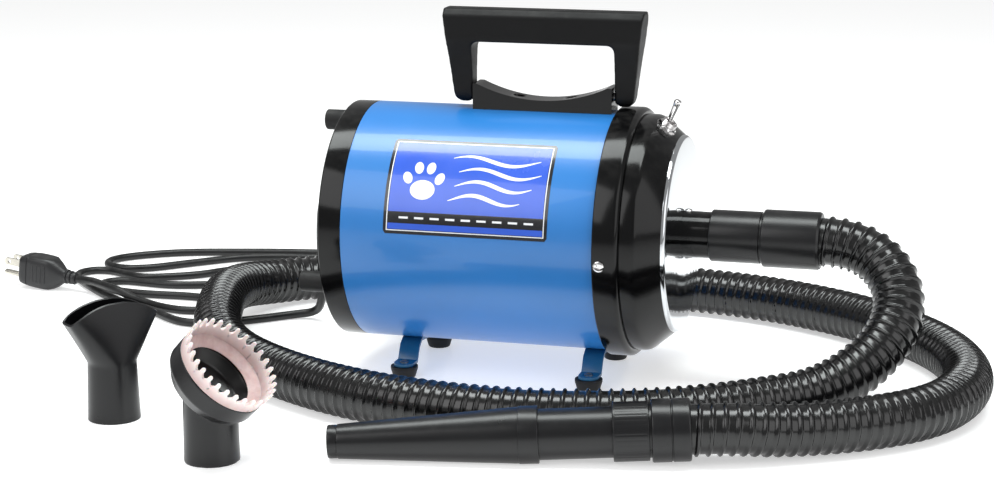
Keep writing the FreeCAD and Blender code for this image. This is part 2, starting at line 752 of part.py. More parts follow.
def build_blower():
    outer = 70.0
    wall = 2.0
    housing = turned_body("fan_can", [
        (FAN_START, 24.0), (FAN_START, outer), (FAN_END, outer), (FAN_END, outer - wall),
        (FAN_START + wall, outer - wall), (FAN_START + wall, 24.0)])
    keep(housing, "fan_housing")
    keep(ring("diffuser", -59.0, -56.5, outer - wall - 0.2, 22.0), "diffuser_plate")
    build_impeller("impeller_first", -74.0)
    build_impeller("impeller_second", -52.0)
    rim = size.shell_radius - size.shell_wall - 0.2
    bulkhead = ring("bulkhead", FAN_END + 0.1, FAN_END + 2.6, rim, 20.0)
    grommet = axis_point(FAN_END - 5.0, WIRE_CIRCLE, WIRE_ANGLE)
    windows = [cylinder("bulkhead_grommet", 3.4, 14.0, grommet, X_AXIS)]
    for number in range(6):
        base = axis_point(FAN_END - 5.0, 52.0, number * 60.0)
        windows.append(cylinder("bulkhead_window%d" % number, 9.0, 14.0, base, X_AXIS))
    keep(cut("bulkhead_cut", bulkhead, fuse("bulkhead_windows", windows)), "motor_bulkhead")


MOTOR_START = -31.2
MOTOR_END = 66.0
CORE_START = -14.0


def build_motor():
    wall = 2.0
    core_outer = size.field_radius
    bearing = size.bearing_radius
    frame_outer = core_outer + wall + 0.2
    outline = [
        (MOTOR_START, bearing + 0.05), (MOTOR_START, frame_outer), (MOTOR_END, frame_outer),
        (MOTOR_END, frame_outer - wall), (MOTOR_START + wall, frame_outer - wall),
        (MOTOR_START + wall, bearing + 3.0), (MOTOR_START + 9.0, bearing + 3.0),
        (MOTOR_START + 9.0, bearing + 0.05),
    ]
    frame = turned_body("motor_can", outline)
    vents = []
    for number in range(8):
        base = axis_point(MOTOR_START - 4.0, 33.0, number * 45.0)
        vents.append(cylinder("frame_vent%d" % number, 5.5, 8.0, base, X_AXIS))
    keep(cut("motor_can_cut", frame, fuse("frame_vents", vents)), "motor_frame")
    core_end = size.field_length + CORE_START
    keep(ring("core_ring", CORE_START, core_end, core_outer, size.field_bore), "field_core")
    coils = []
    for number, start in enumerate((CORE_START - 7.2, core_end.number + 0.2)):
        coils.append(ring("coil_ring%d" % number, start, start + 7.0, 42.0, 30.0))
    keep(group("coil_group", coils), "field_coils")
    bearings = []
    for number, start in enumerate((MOTOR_START + 0.2, MOTOR_END + 0.4)):
        bearings.append(ring("bearing%d" % number, start, size.bearing_width * 0.9 + start, bearing,
                             size.shaft_radius + 0.04))
    keep(group("bearing_group", bearings), "motor_bearings")
    bracket = turned_body("bracket_disc", [
        (MOTOR_END + 0.1, bearing + 0.05), (MOTOR_END + 9.5, bearing + 0.05),
        (MOTOR_END + 9.5, bearing + 2.5), (MOTOR_END + 3.0, bearing + 2.5),
        (MOTOR_END + 3.0, frame_outer), (MOTOR_END + 0.1, frame_outer)])
    vents = []
    for number in range(6):
        base = axis_point(MOTOR_END - 4.0, 31.0, number * 60.0 + 30.0)
        vents.append(cylinder("bracket_vent%d" % number, 8.0, 12.0, base, X_AXIS))
    keep(cut("bracket_cut", bracket, fuse("bracket_vents", vents)), "motor_bracket")
    rings = []
    for number, start in enumerate((MOTOR_START + 6.0, MOTOR_END - 22.0)):
        rings.append(ring("mount_ring%d" % number, start, start + 8.0,
                          size.shell_radius - size.shell_wall - 0.2, frame_outer + 0.1))
    vents = []
    for number in range(8):
        base = axis_point(MOTOR_START, 69.0, number * 45.0 + 20.0)
        vents.append(cylinder("mount_vent%d" % number, 13.0, 110.0, base, X_AXIS))
    tool = fuse("mount_vents", vents)
    cuts = [cut("mount_ring_cut%d" % number, body, tool) for number, body in enumerate(rings)]
    keep(group("mount_ring_group", cuts), "motor_mount_rings")


def build_rotor():
    outline = [(-76.0, 0), (-76.0, size.shaft_radius), (77.0, size.shaft_radius), (77.0, 0)]
    keep(turned_body("shaft", outline), "armature_shaft")
    inner = size.shaft_radius
    core_end = size.field_length + CORE_START
    keep(ring("armature", CORE_START, core_end, size.armature_radius, inner), "armature_core")
    keep(ring("commutator_ring", 47.0, 61.0, 15.0, inner), "commutator")


def brush_box(name, x, length, height, side, near, far):
    """A block on the brush line, from one distance off the shaft to another, on either side."""
    start = near if side > 0 else -far
    return box(name, length, far - near, height, Vector(x, start, AXIS_HEIGHT - height / 2.0))


def build_brush_gear():
    holders = []
    brushes = []
    for number, side in enumerate((-1, 1)):
        outer = brush_box("holder_outer%d" % number, 47.0, 14.0, 12.0, side, 17.5, 45.5)
        inner = brush_box("holder_inner%d" % number, 49.4, 9.2, 7.2, side, 12.0, 52.0)
        brush = brush_box("brush%d" % number, 49.5, 9.0, 7.0, side, 15.1, 37.1)
        holders.append(cut("holder%d" % number, outer, inner))
        brushes.append(brush)
    keep(group("holder_group", holders), "brush_holders")
    keep(group("brush_group", brushes), "carbon_brushes")


# ---------------------------------------------------------------- hose ends and nozzles
CUFF_START = 165.7
CUFF_END = 203.0
SWIVEL_START = 204.6
SWIVEL_END = 247.3


def build_inlet_cuffs():
    """Two stepped sleeves: the first pushes over the outlet tube, the second holds the hose."""
    bore = size.outlet_radius + 0.12
    cuff = turned_body("inlet_cuff", [
        (CUFF_START, bore), (CUFF_START, 19.3), (CUFF_END, 19.3), (CUFF_END, 18.0),
        (226.0, 18.0), (226.0, 15.4), (194.0, 15.4), (194.0, bore)])
    round_edges(cuff, 1.4, ring_at(CUFF_START, 19.3))
    round_edges(cuff, 0.5, ring_at(CUFF_END, 19.3))
    keep(cuff, "hose_inlet_cuff")
    swivel = turned_body("inlet_swivel", [
        (SWIVEL_START, 18.1), (SWIVEL_START, 21.35), (SWIVEL_END, 21.35), (SWIVEL_END, 15.5),
        (227.0, 15.5), (227.0, 18.1)])
    round_edges(swivel, 1.6, ring_at(SWIVEL_START, 21.35))
    round_edges(swivel, 1.6, ring_at(SWIVEL_END, 21.35))
    keep(swivel, "hose_inlet_swivel")


WAND_TIP = Vector(-49.5, -249.9, 11.9)
WAND_TURN = 13.2
WAND_RISE = 2.5
WAND_ROTATION = Rotation(Z_AXIS, WAND_TURN).multiply(Rotation(Y_AXIS, -WAND_RISE))
ON_WAND = FreeCAD.Placement(WAND_TIP, WAND_ROTATION)
WAND_END = 244.8


SOCKET_RADIUS = size.wand_radius + size.socket_clearance


def wand_point(distance):
    """A point on the wand's axis, measured from the nozzle's tip."""
    return ON_WAND.multVec(Vector(distance, 0, 0))


def build_wand():
    cuff = turned_body("end_cuff", [
        (218.4, 18.3), (218.4, 21.5), (231.6, 21.5), (231.6, 20.9), (232.6, 20.9), (232.6, 21.5),
        (WAND_END, 21.5), (WAND_END, 15.5), (231.0, 15.5), (231.0, 18.3)], ON_WAND)
    round_edges(cuff, 1.2, ring_at(218.4, 21.5))
    round_edges(cuff, 1.6, ring_at(WAND_END, 21.5))
    keep(cuff, "hose_end_cuff")
    swivel = turned_body("end_swivel", [
        (192.4, SOCKET_RADIUS), (192.4, 20.2), (216.9, 20.2), (216.9, 18.2), (230.9, 18.2),
        (230.9, 15.6), (208.0, 15.6), (208.0, SOCKET_RADIUS)], ON_WAND)
    grooves = []
    for number in range(36):
        turn = Rotation(X_AXIS, number * 10.0)
        edge = turn.multVec(Vector(194.4, 20.5, 0))
        groove = cylinder("swivel_groove%d" % number, 0.6, 20.0, edge, X_AXIS)
        groove.Placement = ON_WAND.multiply(groove.Placement)
        grooves.append(groove)
    keep(cut("end_swivel_cut", swivel, fuse("swivel_grooves", grooves)), "hose_end_swivel")
    tube = turned_body("wand", [
        (108.0, 15.2), (108.0, size.wand_radius), (207.8, size.wand_radius), (207.8, 15.2)], ON_WAND)
    keep(tube, "wand_tube")


def build_blower_nozzle():
    """A long taper with a collar at the wand end and a thin band at the tip."""
    body = turned_body("blower", [
        (0, 9.6), (0, 11.4), (6.7, 11.4), (6.7, 11.8), (129.0, 19.2), (129.0, 19.6),
        (142.6, 19.6), (142.6, SOCKET_RADIUS), (106.0, SOCKET_RADIUS), (106.0, 15.6)], ON_WAND)
    round_edges(body, 0.9, ring_at(0, 11.4))
    round_edges(body, 0.8, ring_at(142.6, 19.6))
    turn = Rotation(X_AXIS, 90.0 + 42.0)
    spot = turn.multVec(Vector(102.9, 0, 0)) + turn.multVec(Vector(0, 0, 16.6))
    dimple = cylinder("nozzle_dimple", 3.6, 6.0, spot, turn.multVec(Z_AXIS))
    dimple.Placement = ON_WAND.multiply(FreeCAD.Placement(spot, Rotation(Z_AXIS, turn.multVec(Z_AXIS))))
    return keep(cut("blower_cut", body, dimple), "blower_nozzle")


FLARE_SPOT = Vector(-230.2, -199.2, 0)
FLARE_TURN = 53.0
FLARE_NECK = 42.6
FLARE_TOP = 92.0
FLARE_CREST = 86.0
FLARE_ARCH = 56.0
SOCKET_DEPTH = 16.0


def loft(name, wires):
    """A solid lofted through round wires, read from the sheet's own sizes."""
    result = doc.addObject("Part::Loft", name)
    result.Sections = wires
    result.Solid = True
    result.Ruled = True
    return result


def ellipse(name, long_half, short_half, height):
    """A flat ellipse at a height."""
    wire = doc.addObject("Part::Ellipse", name)
    wire.MajorRadius = long_half
    wire.MinorRadius = short_half
    wire.Placement = FreeCAD.Placement(Vector(0, 0, height), Rotation())
    return wire


def build_flare_nozzle():
    """A socket tube that widens into a flat fan with arched lips."""
    outer = loft("flare_outer", [
        ellipse("flare_o1", 18.8, 18.79, 0), ellipse("flare_o2", 17.5, 17.49, FLARE_NECK),
        ellipse("flare_o3", 45.8, 8.0, FLARE_TOP)])
    inner = loft("flare_inner", [
        ellipse("flare_i1", 16.6, 16.59, -0.5), ellipse("flare_i2", 15.5, 15.49, FLARE_NECK),
        ellipse("flare_i3", 43.8, 6.0, FLARE_TOP + 0.3)])
    socket = cylinder("flare_socket", SOCKET_RADIUS, SOCKET_DEPTH + 1.0, Vector(0, 0, -1.0), Z_AXIS)
    walls = cut("flare_walls", outer, fuse("flare_space", [inner, socket]))
    arch = cylinder("flare_arch", FLARE_ARCH, 100.0, Vector(0, -50.0, FLARE_CREST - FLARE_ARCH), Y_AXIS)
    nozzle = doc.addObject("Part::Common", "flare_common")
    nozzle.Base = walls
    nozzle.Tool = arch
    nozzle.Placement = FreeCAD.Placement(FLARE_SPOT, Rotation(Z_AXIS, FLARE_TURN))
    return keep(nozzle, "flare_nozzle")


BRUSH_SPOT = Vector(-124.8, -272.1, 0)
HEAD_CENTRE = Vector(-114.5, -273.4, 63.2)
HEAD_RISE = 45.4
HEAD_TURN = -7.3
HEAD_ROTATION = Rotation(Z_AXIS, HEAD_TURN).multiply(Rotation(Y_AXIS, -HEAD_RISE))
ON_HEAD = FreeCAD.Placement(HEAD_CENTRE, HEAD_ROTATION)


def build_brush_nozzle():
    """A straight socket that opens into a cup tipped at about 45 degrees."""
    cup = turned_body("brush_cup", [
        (-27.0, 0), (-27.0, 14.0), (-21.0, 27.5), (-12.5, 34.2), (0, 34.6), (0, 0)], ON_HEAD)
    socket = turned_body("brush_socket", [
        (0, 0), (0, 19.0), (52.0, 18.4), (52.0, 0)],
        FreeCAD.Placement(BRUSH_SPOT, Rotation(X_AXIS, Z_AXIS)))
    cup_space = turned_body("brush_cup_space", [
        (-24.0, 0), (-24.0, 12.0), (-18.5, 25.5), (-11.0, 31.6), (1.0, 31.6), (1.0, 0)], ON_HEAD)
    socket_space = turned_body("brush_socket_space", [
        (-1.0, 0), (-1.0, SOCKET_RADIUS), (SOCKET_DEPTH, SOCKET_RADIUS), (SOCKET_DEPTH, 16.4),
        (44.0, 16.0), (44.0, 0)],
        FreeCAD.Placement(BRUSH_SPOT, Rotation(X_AXIS, Z_AXIS)))
    above = doc.addObject("Part::Cylinder", "brush_trim")
    above.Radius = 60.0
    above.Height = 60.0
    above.Placement = FreeCAD.Placement(HEAD_CENTRE, Rotation(Z_AXIS, HEAD_ROTATION.multVec(X_AXIS)))
    solid = fuse("brush_solid", [cup, socket])
    space = fuse("brush_space", [cup_space, socket_space, above])
    return keep(cut("brush_cut", solid, space), "brush_nozzle")


def build_brush_ring():
    """A soft skirt whose edge is notched into short fingers, seated in the cup's rim."""
    tip = 11.9
    notch_depth = 5.0
    skirt = turned_body("ring_skirt", [
        (-2.6, 28.6), (-2.6, 31.4), (0.1, 31.4), (0.1, 33.2), (tip, 36.0), (tip, 33.0),
        (0.1, 29.6)], ON_HEAD)
    notches = []
    for number in range(NOTCH_PAIRS):
        turn = Rotation(X_AXIS, number * 180.0 / NOTCH_PAIRS)
        notch = doc.addObject("Part::Box", "ring_notch%d" % number)
        notch.Length = notch_depth + 1.0
        notch.Width = 4.4
        notch.Height = 100.0
        corner = FreeCAD.Placement(turn.multVec(Vector(0, -2.2, -50.0)), turn)
        slide = FreeCAD.Placement(Vector(tip - notch_depth, 0, 0), Rotation())
        notch.Placement = ON_HEAD.multiply(slide).multiply(corner)
        notches.append(notch)
    return keep(cut("ring_cut", skirt, fuse("ring_notches", notches)), "brush_ring")


NOTCH_PAIRS = 15


# ---------------------------------------------------------------- hose and cord
def route_wire(name, points):
    """Straight runs joined by tangent arcs, each as large as its two runs allow."""
    edges = []
    radii = []
    here = points[0]
    for index in range(1, len(points) - 1):
        corner = points[index]
        before = corner - points[index - 1]
        after = points[index + 1] - corner
        turn = before.getAngle(after)
        shorter = min(before.Length, after.Length)
        radius = 0.45 * shorter / math.tan(turn / 2.0)
        radii.append(radius)
        before.normalize()
        after.normalize()
        start = corner - before * (0.45 * shorter)
        end = corner + after * (0.45 * shorter)
        bisector = (after - before).normalize()
        centre_gap = radius / math.cos(turn / 2.0)
        middle = corner + bisector * (centre_gap - radius)
        edges.append(Part.LineSegment(here, start).toShape())
        edges.append(Part.Arc(start, middle, end).toShape())
        here = end
    edges.append(Part.LineSegment(here, points[-1]).toShape())
    print(name, "radii", " ".join("%.0f" % radius for radius in radii))
    return Part.Wire(edges)


def swept(wire, points, radius):
    """A round bar along a route."""
    circle = Part.Wire(Part.Circle(points[0], points[1] - points[0], radius).toShape())
    return wire.makePipe(Part.Face(circle))


def sheet_number(amount):
    """A number as it is, or the value that the sheet holds under a name."""
    return float(sheet.get(amount)) if isinstance(amount, str) else amount


def route_feature(name, label, points, radius, bore=0.0):
    """A tube along a route as one feature; its radii are names in the sheet or numbers."""
    radius = sheet_number(radius)
    bore = sheet_number(bore)
    wire = route_wire(label, points)
    shape = swept(wire, points, radius)
    section = math.pi * radius ** 2
    if bore:
        shape = shape.cut(swept(wire, points, bore))
        section -= math.pi * bore ** 2
    share = shape.Volume / (section * wire.Length)
    print("%s length %.0f volume share %.4f valid %s" % (label, wire.Length, share, shape.isValid()))
    feature = doc.addObject("Part::Feature", name)
    feature.Shape = shape
    feature.Placement = FreeCAD.Placement()
    return keep(feature, label)


# hose route, outlet end first, down to the floor, round the drum and back to the wand
HOSE_ROUTE = [
    (247.35, 0, 112.7), (264, 0, 112.7), (287, -3, 105), (304, -14, 89), (309, -29, 69),
    (301, -47, 50), (282, -67, 33), (257, -87, 21.5), (228, -106, 18.9), (196, -133, 18.9),
    (156, -156, 18.9), (112, -170, 18.9), (50, -181, 18.9), (-20, -174, 18.9),
    (-82, -153, 18.9), (-140, -118, 18.9), (-186, -80, 20.5), (-214, -45, 27),
    (-232, 5, 31.5), (-244, 50, 31.5), (-248, 95, 27), (-240, 133, 20.5), (-214, 164, 18.9),
    (-165, 187, 18.9), (-90, 199, 18.9), (0, 205, 18.9), (90, 208, 18.9), (170, 193, 18.9),
    (235, 163, 18.9), (290, 121, 18.9), (334, 66, 18.9), (357, 5, 18.9), (358, -50, 18.9),
    (340, -101, 18.9), (300, -141, 18.9), (248, -171, 19.6),
]


def build_hose():
    points = [Vector(*point) for point in HOSE_ROUTE]
    end = wand_point(WAND_END)
    lead_in = wand_point(WAND_END + 27.0)
    points = points + [lead_in, end]
    points[0].z = AXIS_HEIGHT
    route_feature("hose_tube", "hose", points, "hose_radius", "hose_bore")


GLAND_LENGTH = 30.0
GLAND_EXIT = axis_point(GRILLE_BACK.number - GLAND_LENGTH, GLAND_CIRCLE, GLAND_ANGLE)


def build_gland():
    """A tapered strain relief with a collar outside the cover and a plug inside it."""
    start = GRILLE_BACK.number
    spot = axis_point(0, GLAND_CIRCLE, GLAND_ANGLE)
    outline = [
        (start + 2.4, 0), (start + 2.4, 5.3), (start - 0.1, 5.3), (start - 0.1, GLAND_RADIUS),
        (start - 4.0, GLAND_RADIUS), (start - 6.0, 6.2), (start - GLAND_LENGTH, 4.4),
        (start - GLAND_LENGTH, 0),
    ]
    return keep(turned_body("gland", outline, FreeCAD.Placement(spot, Rotation())), "cord_gland")


# cord from the gland down to the floor and left, under the hose, to the hank's edge
CORD_LEAD_ROUTE = [
    (-141.6, 70.0, 122.5), (-155, 70.5, 121.5), (-167, 72.5, 110), (-171, 76, 84),
    (-172, 81, 46), (-175, 88, 20), (-184, 100, 6.5), (-203, 98, 3.6), (-228, 74, 3.6),
    (-255, 54, 3.6), (-278, 49, 3.6), (-296, 56, 3.6),
]
HANK_HEIGHT = 9.0
PLUG_TURN = 172.0
PLUG_LIFT = 6.0
PLUG_BACK = Vector(-421.0, 139.0, 11.2)
PLUG_ROTATION = Rotation(Z_AXIS, PLUG_TURN).multiply(Rotation(Y_AXIS, -PLUG_LIFT))
# cord from the hank, over its outer strand, to the plug's strain relief
CORD_TAIL_ROUTE = [(-378.0, 112.0, 12.6), (-391, 121, 12.6), (-403, 132, 11.9)]
HANK_OUTLINE = [
    (-296, 53), (-331, 79), (-358, 90.5), (-391, 121), (-411.5, 142.5), (-429, 166), (-438.5, 187),
    (-439, 215), (-435, 240), (-428, 257), (-413, 275), (-390, 293.5), (-335, 308), (-266, 325),
    (-150, 335), (50, 343), (58, 300), (50, 234), (-100, 228), (-176, 213), (-226, 196),
    (-262, 174), (-276, 140), (-273, 84), (-278, 62),
]


def build_cord():
    lead = [Vector(*point) for point in CORD_LEAD_ROUTE]
    lead[0] = GLAND_EXIT
    route_feature("lead_tube", "cord_lead", lead, "cord_radius")
    back = PLUG_ROTATION.multVec(X_AXIS) * -1.0
    tail = [Vector(*point) for point in CORD_TAIL_ROUTE] + [PLUG_BACK + back * 6.0, PLUG_BACK + back * 0.05]
    route_feature("tail_tube", "cord_tail", tail, "cord_radius")


def build_hank():
    """The loose hank's outer shape: a low pad, thicker where the tail crosses it."""
    outline = Part.makePolygon([Vector(x, y, 0.05) for x, y in HANK_OUTLINE + HANK_OUTLINE[:1]])
    slab = Part.Face(outline).extrude(Vector(0, 0, HANK_HEIGHT - 0.05))
    raised = Part.makeBox(34.0, 32.0, 7.2, Vector(-378.0, 96.0, 8.9))
    feature = doc.addObject("Part::Feature", "hank_pad")
    feature.Shape = slab.fuse(raised).removeSplitter()
    feature.Placement = FreeCAD.Placement()
    return keep(feature, "cord_hank")


def build_plug():
    """A moulded three-pin plug on its edge: flattened body, strain relief, pins that point away."""
    base = FreeCAD.Placement(PLUG_BACK, PLUG_ROTATION)
    front = 54.0
    outline = [
        (0, 0), (0, 4.4), (9.0, 5.4), (13.0, 6.6), (19.0, 11.5), (25.0, 14.2), (42.0, 14.0),
        (52.0, 12.6), (front, 11.8), (front, 0)]
    round_body = turned_body("plug_round", outline, base)
    slab = doc.addObject("Part::Box", "plug_slab")
    slab.Length = 80.0
    slab.Width = 23.6
    slab.Height = 60.0
    slab.Placement = base.multiply(FreeCAD.Placement(Vector(-10, -11.8, -30), Rotation()))
    flat = doc.addObject("Part::Common", "plug_flat")
    flat.Base = round_body
    flat.Tool = slab
    keep(flat, "plug_body")
    prongs = []
    for number, side in enumerate((-1, 1)):
        blade = doc.addObject("Part::Box", "plug_blade%d" % number)
        blade.Length = 16.0
        blade.Width = 1.5
        blade.Height = 6.4
        corner = Vector(front, side * 6.35 - 0.75, 1.3)
        blade.Placement = base.multiply(FreeCAD.Placement(corner, Rotation()))
        prongs.append(blade)
    pin = doc.addObject("Part::Cylinder", "plug_pin")
    pin.Radius = 2.4
    pin.Height = 19.0
    pin.Placement = base.multiply(FreeCAD.Placement(Vector(front, 0, -7.4), Rotation(Z_AXIS, X_AXIS)))
    keep(group("prong_group", prongs + [pin]), "plug_prongs")


WIRE_CIRCLE = 77.0
WIRE_ANGLE = 65.0


def build_lead_wires():
    """Insulated wires inside the drum, from the intake end past the motor to the switch."""
    route = [(-90.0, 77.0, 40.0), (-64.0, 77.0, 56.0), (-38.0, WIRE_CIRCLE, WIRE_ANGLE),
             (-12.0, WIRE_CIRCLE, 65.5), (34.0, 77.0, 64.5), (70.0, 77.0, 66.0),
             (94.0, 76.0, 79.0), (110.0, 75.0, 86.0)]
    points = [axis_point(x, radius, angle) for x, radius, angle in route]
    route_feature("wires", "lead_wires", points, 2.6)


build_shell()
build_badge()
build_rear_band()
build_grille()
build_rear_bumpers()
build_filter()
build_front_band()
build_band_screws()
build_dome()
build_face_plate()
build_outlet()
build_outlet_screws()
build_switch()
build_lever()
build_handle_grip()
build_saddle()
build_handle_fixings()
build_strap("leg_strap_rear", DRIVING["rear_leg_place"])
build_strap("leg_strap_front", DRIVING["front_leg_place"])
build_feet()
build_strap_screws()
build_blower()
build_motor()
build_rotor()
build_brush_gear()
build_inlet_cuffs()
build_wand()
build_blower_nozzle()
build_flare_nozzle()
build_brush_nozzle()
build_brush_ring()
build_hose()
build_gland()
build_cord()
build_hank()
build_plug()
build_lead_wires()
doc.recompute()

problems = []
for item in doc.Objects:
    if "Invalid" in item.State or "Error" in item.State:
        problems.append("%s state %s" % (item.Name, item.State))
for part in sub_parts:
    if part.Shape.isNull() or not part.Shape.isValid():
        problems.append("%s has a bad shape" % part.Label)
if problems:
    raise RuntimeError("; ".join(problems))
for part in sub_parts:
    part.Shape.exportStep("parts/%s.step" % part.Label)
print("wrote", len(sub_parts), "sub-parts")
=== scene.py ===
"""Looks of the canister pet dryer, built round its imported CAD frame.

Lengths in the tables below are millimetres, as in the part's own source; Blender objects are
in metres. The drum lies along X at AXIS_HEIGHT, the floor is at zero.
"""

import math

import bmesh
import bpy
from mathutils import Matrix, Vector


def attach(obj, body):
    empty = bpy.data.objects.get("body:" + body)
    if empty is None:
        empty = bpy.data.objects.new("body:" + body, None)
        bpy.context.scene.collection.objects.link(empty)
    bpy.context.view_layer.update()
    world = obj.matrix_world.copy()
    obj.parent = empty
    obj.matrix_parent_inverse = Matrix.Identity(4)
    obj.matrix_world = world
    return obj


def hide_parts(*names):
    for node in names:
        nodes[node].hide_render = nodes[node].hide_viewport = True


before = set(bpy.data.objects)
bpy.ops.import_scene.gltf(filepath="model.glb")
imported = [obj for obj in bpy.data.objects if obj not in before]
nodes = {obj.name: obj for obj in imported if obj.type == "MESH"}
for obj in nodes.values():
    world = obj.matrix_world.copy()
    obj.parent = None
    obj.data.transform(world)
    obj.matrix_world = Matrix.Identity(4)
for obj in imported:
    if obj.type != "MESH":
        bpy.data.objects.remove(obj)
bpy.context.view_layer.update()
scene = bpy.context.scene

MM = 0.001
AXIS_HEIGHT = 112.7
TAU = 2.0 * math.pi


# ------------------------------------------------------------------ camera and studio
def shifted(x, y, z):
    """A move, from millimetres."""
    return Matrix.Translation((x * MM, y * MM, z * MM))


def turned(degrees, axis):
    return Matrix.Rotation(math.radians(degrees), 4, axis)


def place_camera():
    lens = bpy.data.cameras.new("camera")
    lens.sensor_width = 36.0
    lens.lens = 84.3
    eye = bpy.data.objects.new("camera", lens)
    scene.collection.objects.link(eye)
    eye.matrix_world = (shifted(467.77, -1667.91, 490.67) @ turned(15.672, "Z")
                        @ turned(90.0 - 12.789, "X") @ turned(-0.307, "Z"))
    scene.camera = eye


def area_light(name, spot, width, height, power, tint=(1.0, 1.0, 1.0)):
    """A soft box aimed at the dryer's middle."""
    lamp = bpy.data.lights.new(name, "AREA")
    lamp.shape = "RECTANGLE"
    lamp.size = width
    lamp.size_y = height
    lamp.energy = power
    lamp.color = tint
    holder = bpy.data.objects.new(name, lamp)
    scene.collection.objects.link(holder)
    holder.location = spot
    aim = Vector((0.0, 0.0, 0.1)) - Vector(spot)
    holder.rotation_euler = aim.to_track_quat("-Z", "Y").to_euler()


def build_studio():
    world = bpy.data.worlds.new("studio")
    scene.world = world
    world.use_nodes = True
    background = world.node_tree.nodes["Background"]
    background.inputs["Color"].default_value = (1.0, 1.0, 1.0, 1.0)
    background.inputs["Strength"].default_value = 0.36
    area_light("key", (-1.1, -1.7, 1.5), 1.8, 1.4, 20.0)
    area_light("fill", (1.7, -0.9, 0.9), 1.4, 1.4, 9.0)
    area_light("top", (0.0, 0.0, 1.7), 2.0, 0.6, 36.0, (0.95, 1.0, 0.99))
    scene.view_settings.view_transform = "Standard"
    scene.view_settings.look = "None"
    mesh = bpy.data.meshes.new("floor")
    half = 9.0
    mesh.from_pydata([(-half, -half, 0), (half, -half, 0), (half, half, 0), (-half, half, 0)], [],
                     [(0, 1, 2, 3)])
    floor = bpy.data.objects.new("floor", mesh)
    scene.collection.objects.link(floor)
    paper = bpy.data.materials.new("floor_paper")
    paper.use_nodes = True
    shader = paper.node_tree.nodes["Principled BSDF"]
    shader.inputs["Base Color"].default_value = (0.9, 0.9, 0.9, 1.0)
    shader.inputs["Roughness"].default_value = 0.24
    shader.inputs["Specular IOR Level"].default_value = 0.35
    shader.inputs["Emission Color"].default_value = (1.0, 1.0, 1.0, 1.0)
    shader.inputs["Emission Strength"].default_value = 0.5
    mesh.materials.append(paper)


# ------------------------------------------------------------------ materials
def linear(red, green, blue):
    """A display colour, 0 to 255, as linear light."""
    return [((part / 255.0 + 0.055) / 1.055) ** 2.4 for part in (red, green, blue)]


def scaled(colour, amount):
    return [min(1.0, part * amount) for part in colour] + [1.0]


FINISHES = {}
COLOUR_A, COLOUR_B, COLOUR_RESULT = 6, 7, 2


class Finish:
    """A procedural material round one Principled shader."""

    def __init__(self, name, stretch=(1.0, 1.0, 1.0)):
        self.material = bpy.data.materials.new(name)
        self.material.use_nodes = True
        FINISHES[name] = self.material
        self.tree = self.material.node_tree
        self.shader = self.tree.nodes["Principled BSDF"]
        place = self.new("ShaderNodeTexCoord")
        mapping = self.new("ShaderNodeMapping")
        mapping.inputs["Scale"].default_value = stretch
        self.link(place.outputs["Object"], mapping.inputs["Vector"])
        self.coords = mapping.outputs["Vector"]

    def new(self, kind):
        return self.tree.nodes.new(kind)

    def link(self, start, end):
        self.tree.links.new(start, end)

    def noise(self, scale, detail=3.0, roughness=0.55):
        made = self.new("ShaderNodeTexNoise")
        made.inputs["Scale"].default_value = scale
        made.inputs["Detail"].default_value = detail
        made.inputs["Roughness"].default_value = roughness
        self.link(self.coords, made.inputs["Vector"])
        return made.outputs["Fac"]

    def ranged(self, source, low, high, start, end):
        """source's part from low to high, spread over start to end."""
        made = self.new("ShaderNodeMapRange")
        for socket, number in zip(("From Min", "From Max", "To Min", "To Max"),
                                  (low, high, start, end)):
            made.inputs[socket].default_value = number
        self.link(source, made.inputs["Value"])
        return made.outputs["Result"]

    def product(self, first, second):
        made = self.new("ShaderNodeMath")
        made.operation = "MULTIPLY"
        self.link(first, made.inputs[0])
        self.link(second, made.inputs[1])
        return made.outputs["Value"]

    def mixed(self, factor, first, second):
        """Two colours mixed by a factor; each is a list of numbers or a socket."""
        made = self.new("ShaderNodeMix")
        made.data_type = "RGBA"
        self.link(factor, made.inputs["Factor"])
        for socket, colour in ((COLOUR_A, first), (COLOUR_B, second)):
            if isinstance(colour, list):
                made.inputs[socket].default_value = colour
            else:
                self.link(colour, made.inputs[socket])
        return made.outputs[COLOUR_RESULT]

    def bump(self, height, distance, strength=1.0, before=None):
        made = self.new("ShaderNodeBump")
        made.inputs["Distance"].default_value = distance
        made.inputs["Strength"].default_value = strength
        self.link(height, made.inputs["Height"])
        if before:
            self.link(before, made.inputs["Normal"])
        return made.outputs["Normal"]

    def upward(self):
        """1 on faces that look up, 0 on the others."""
        geometry = self.new("ShaderNodeNewGeometry")
        split = self.new("ShaderNodeSeparateXYZ")
        self.link(geometry.outputs["Normal"], split.inputs["Vector"])
        return self.ranged(split.outputs["Z"], 0.35, 0.95, 0.0, 1.0)

    def edges(self):
        """1 on worn convex edges, 0 on flat and hollow places."""
        geometry = self.new("ShaderNodeNewGeometry")
        return self.ranged(geometry.outputs["Pointiness"], 0.52, 0.6, 0.0, 1.0)

    def set(self, **numbers):
        for name, number in numbers.items():
            self.shader.inputs[name.replace("_", " ")].default_value = number


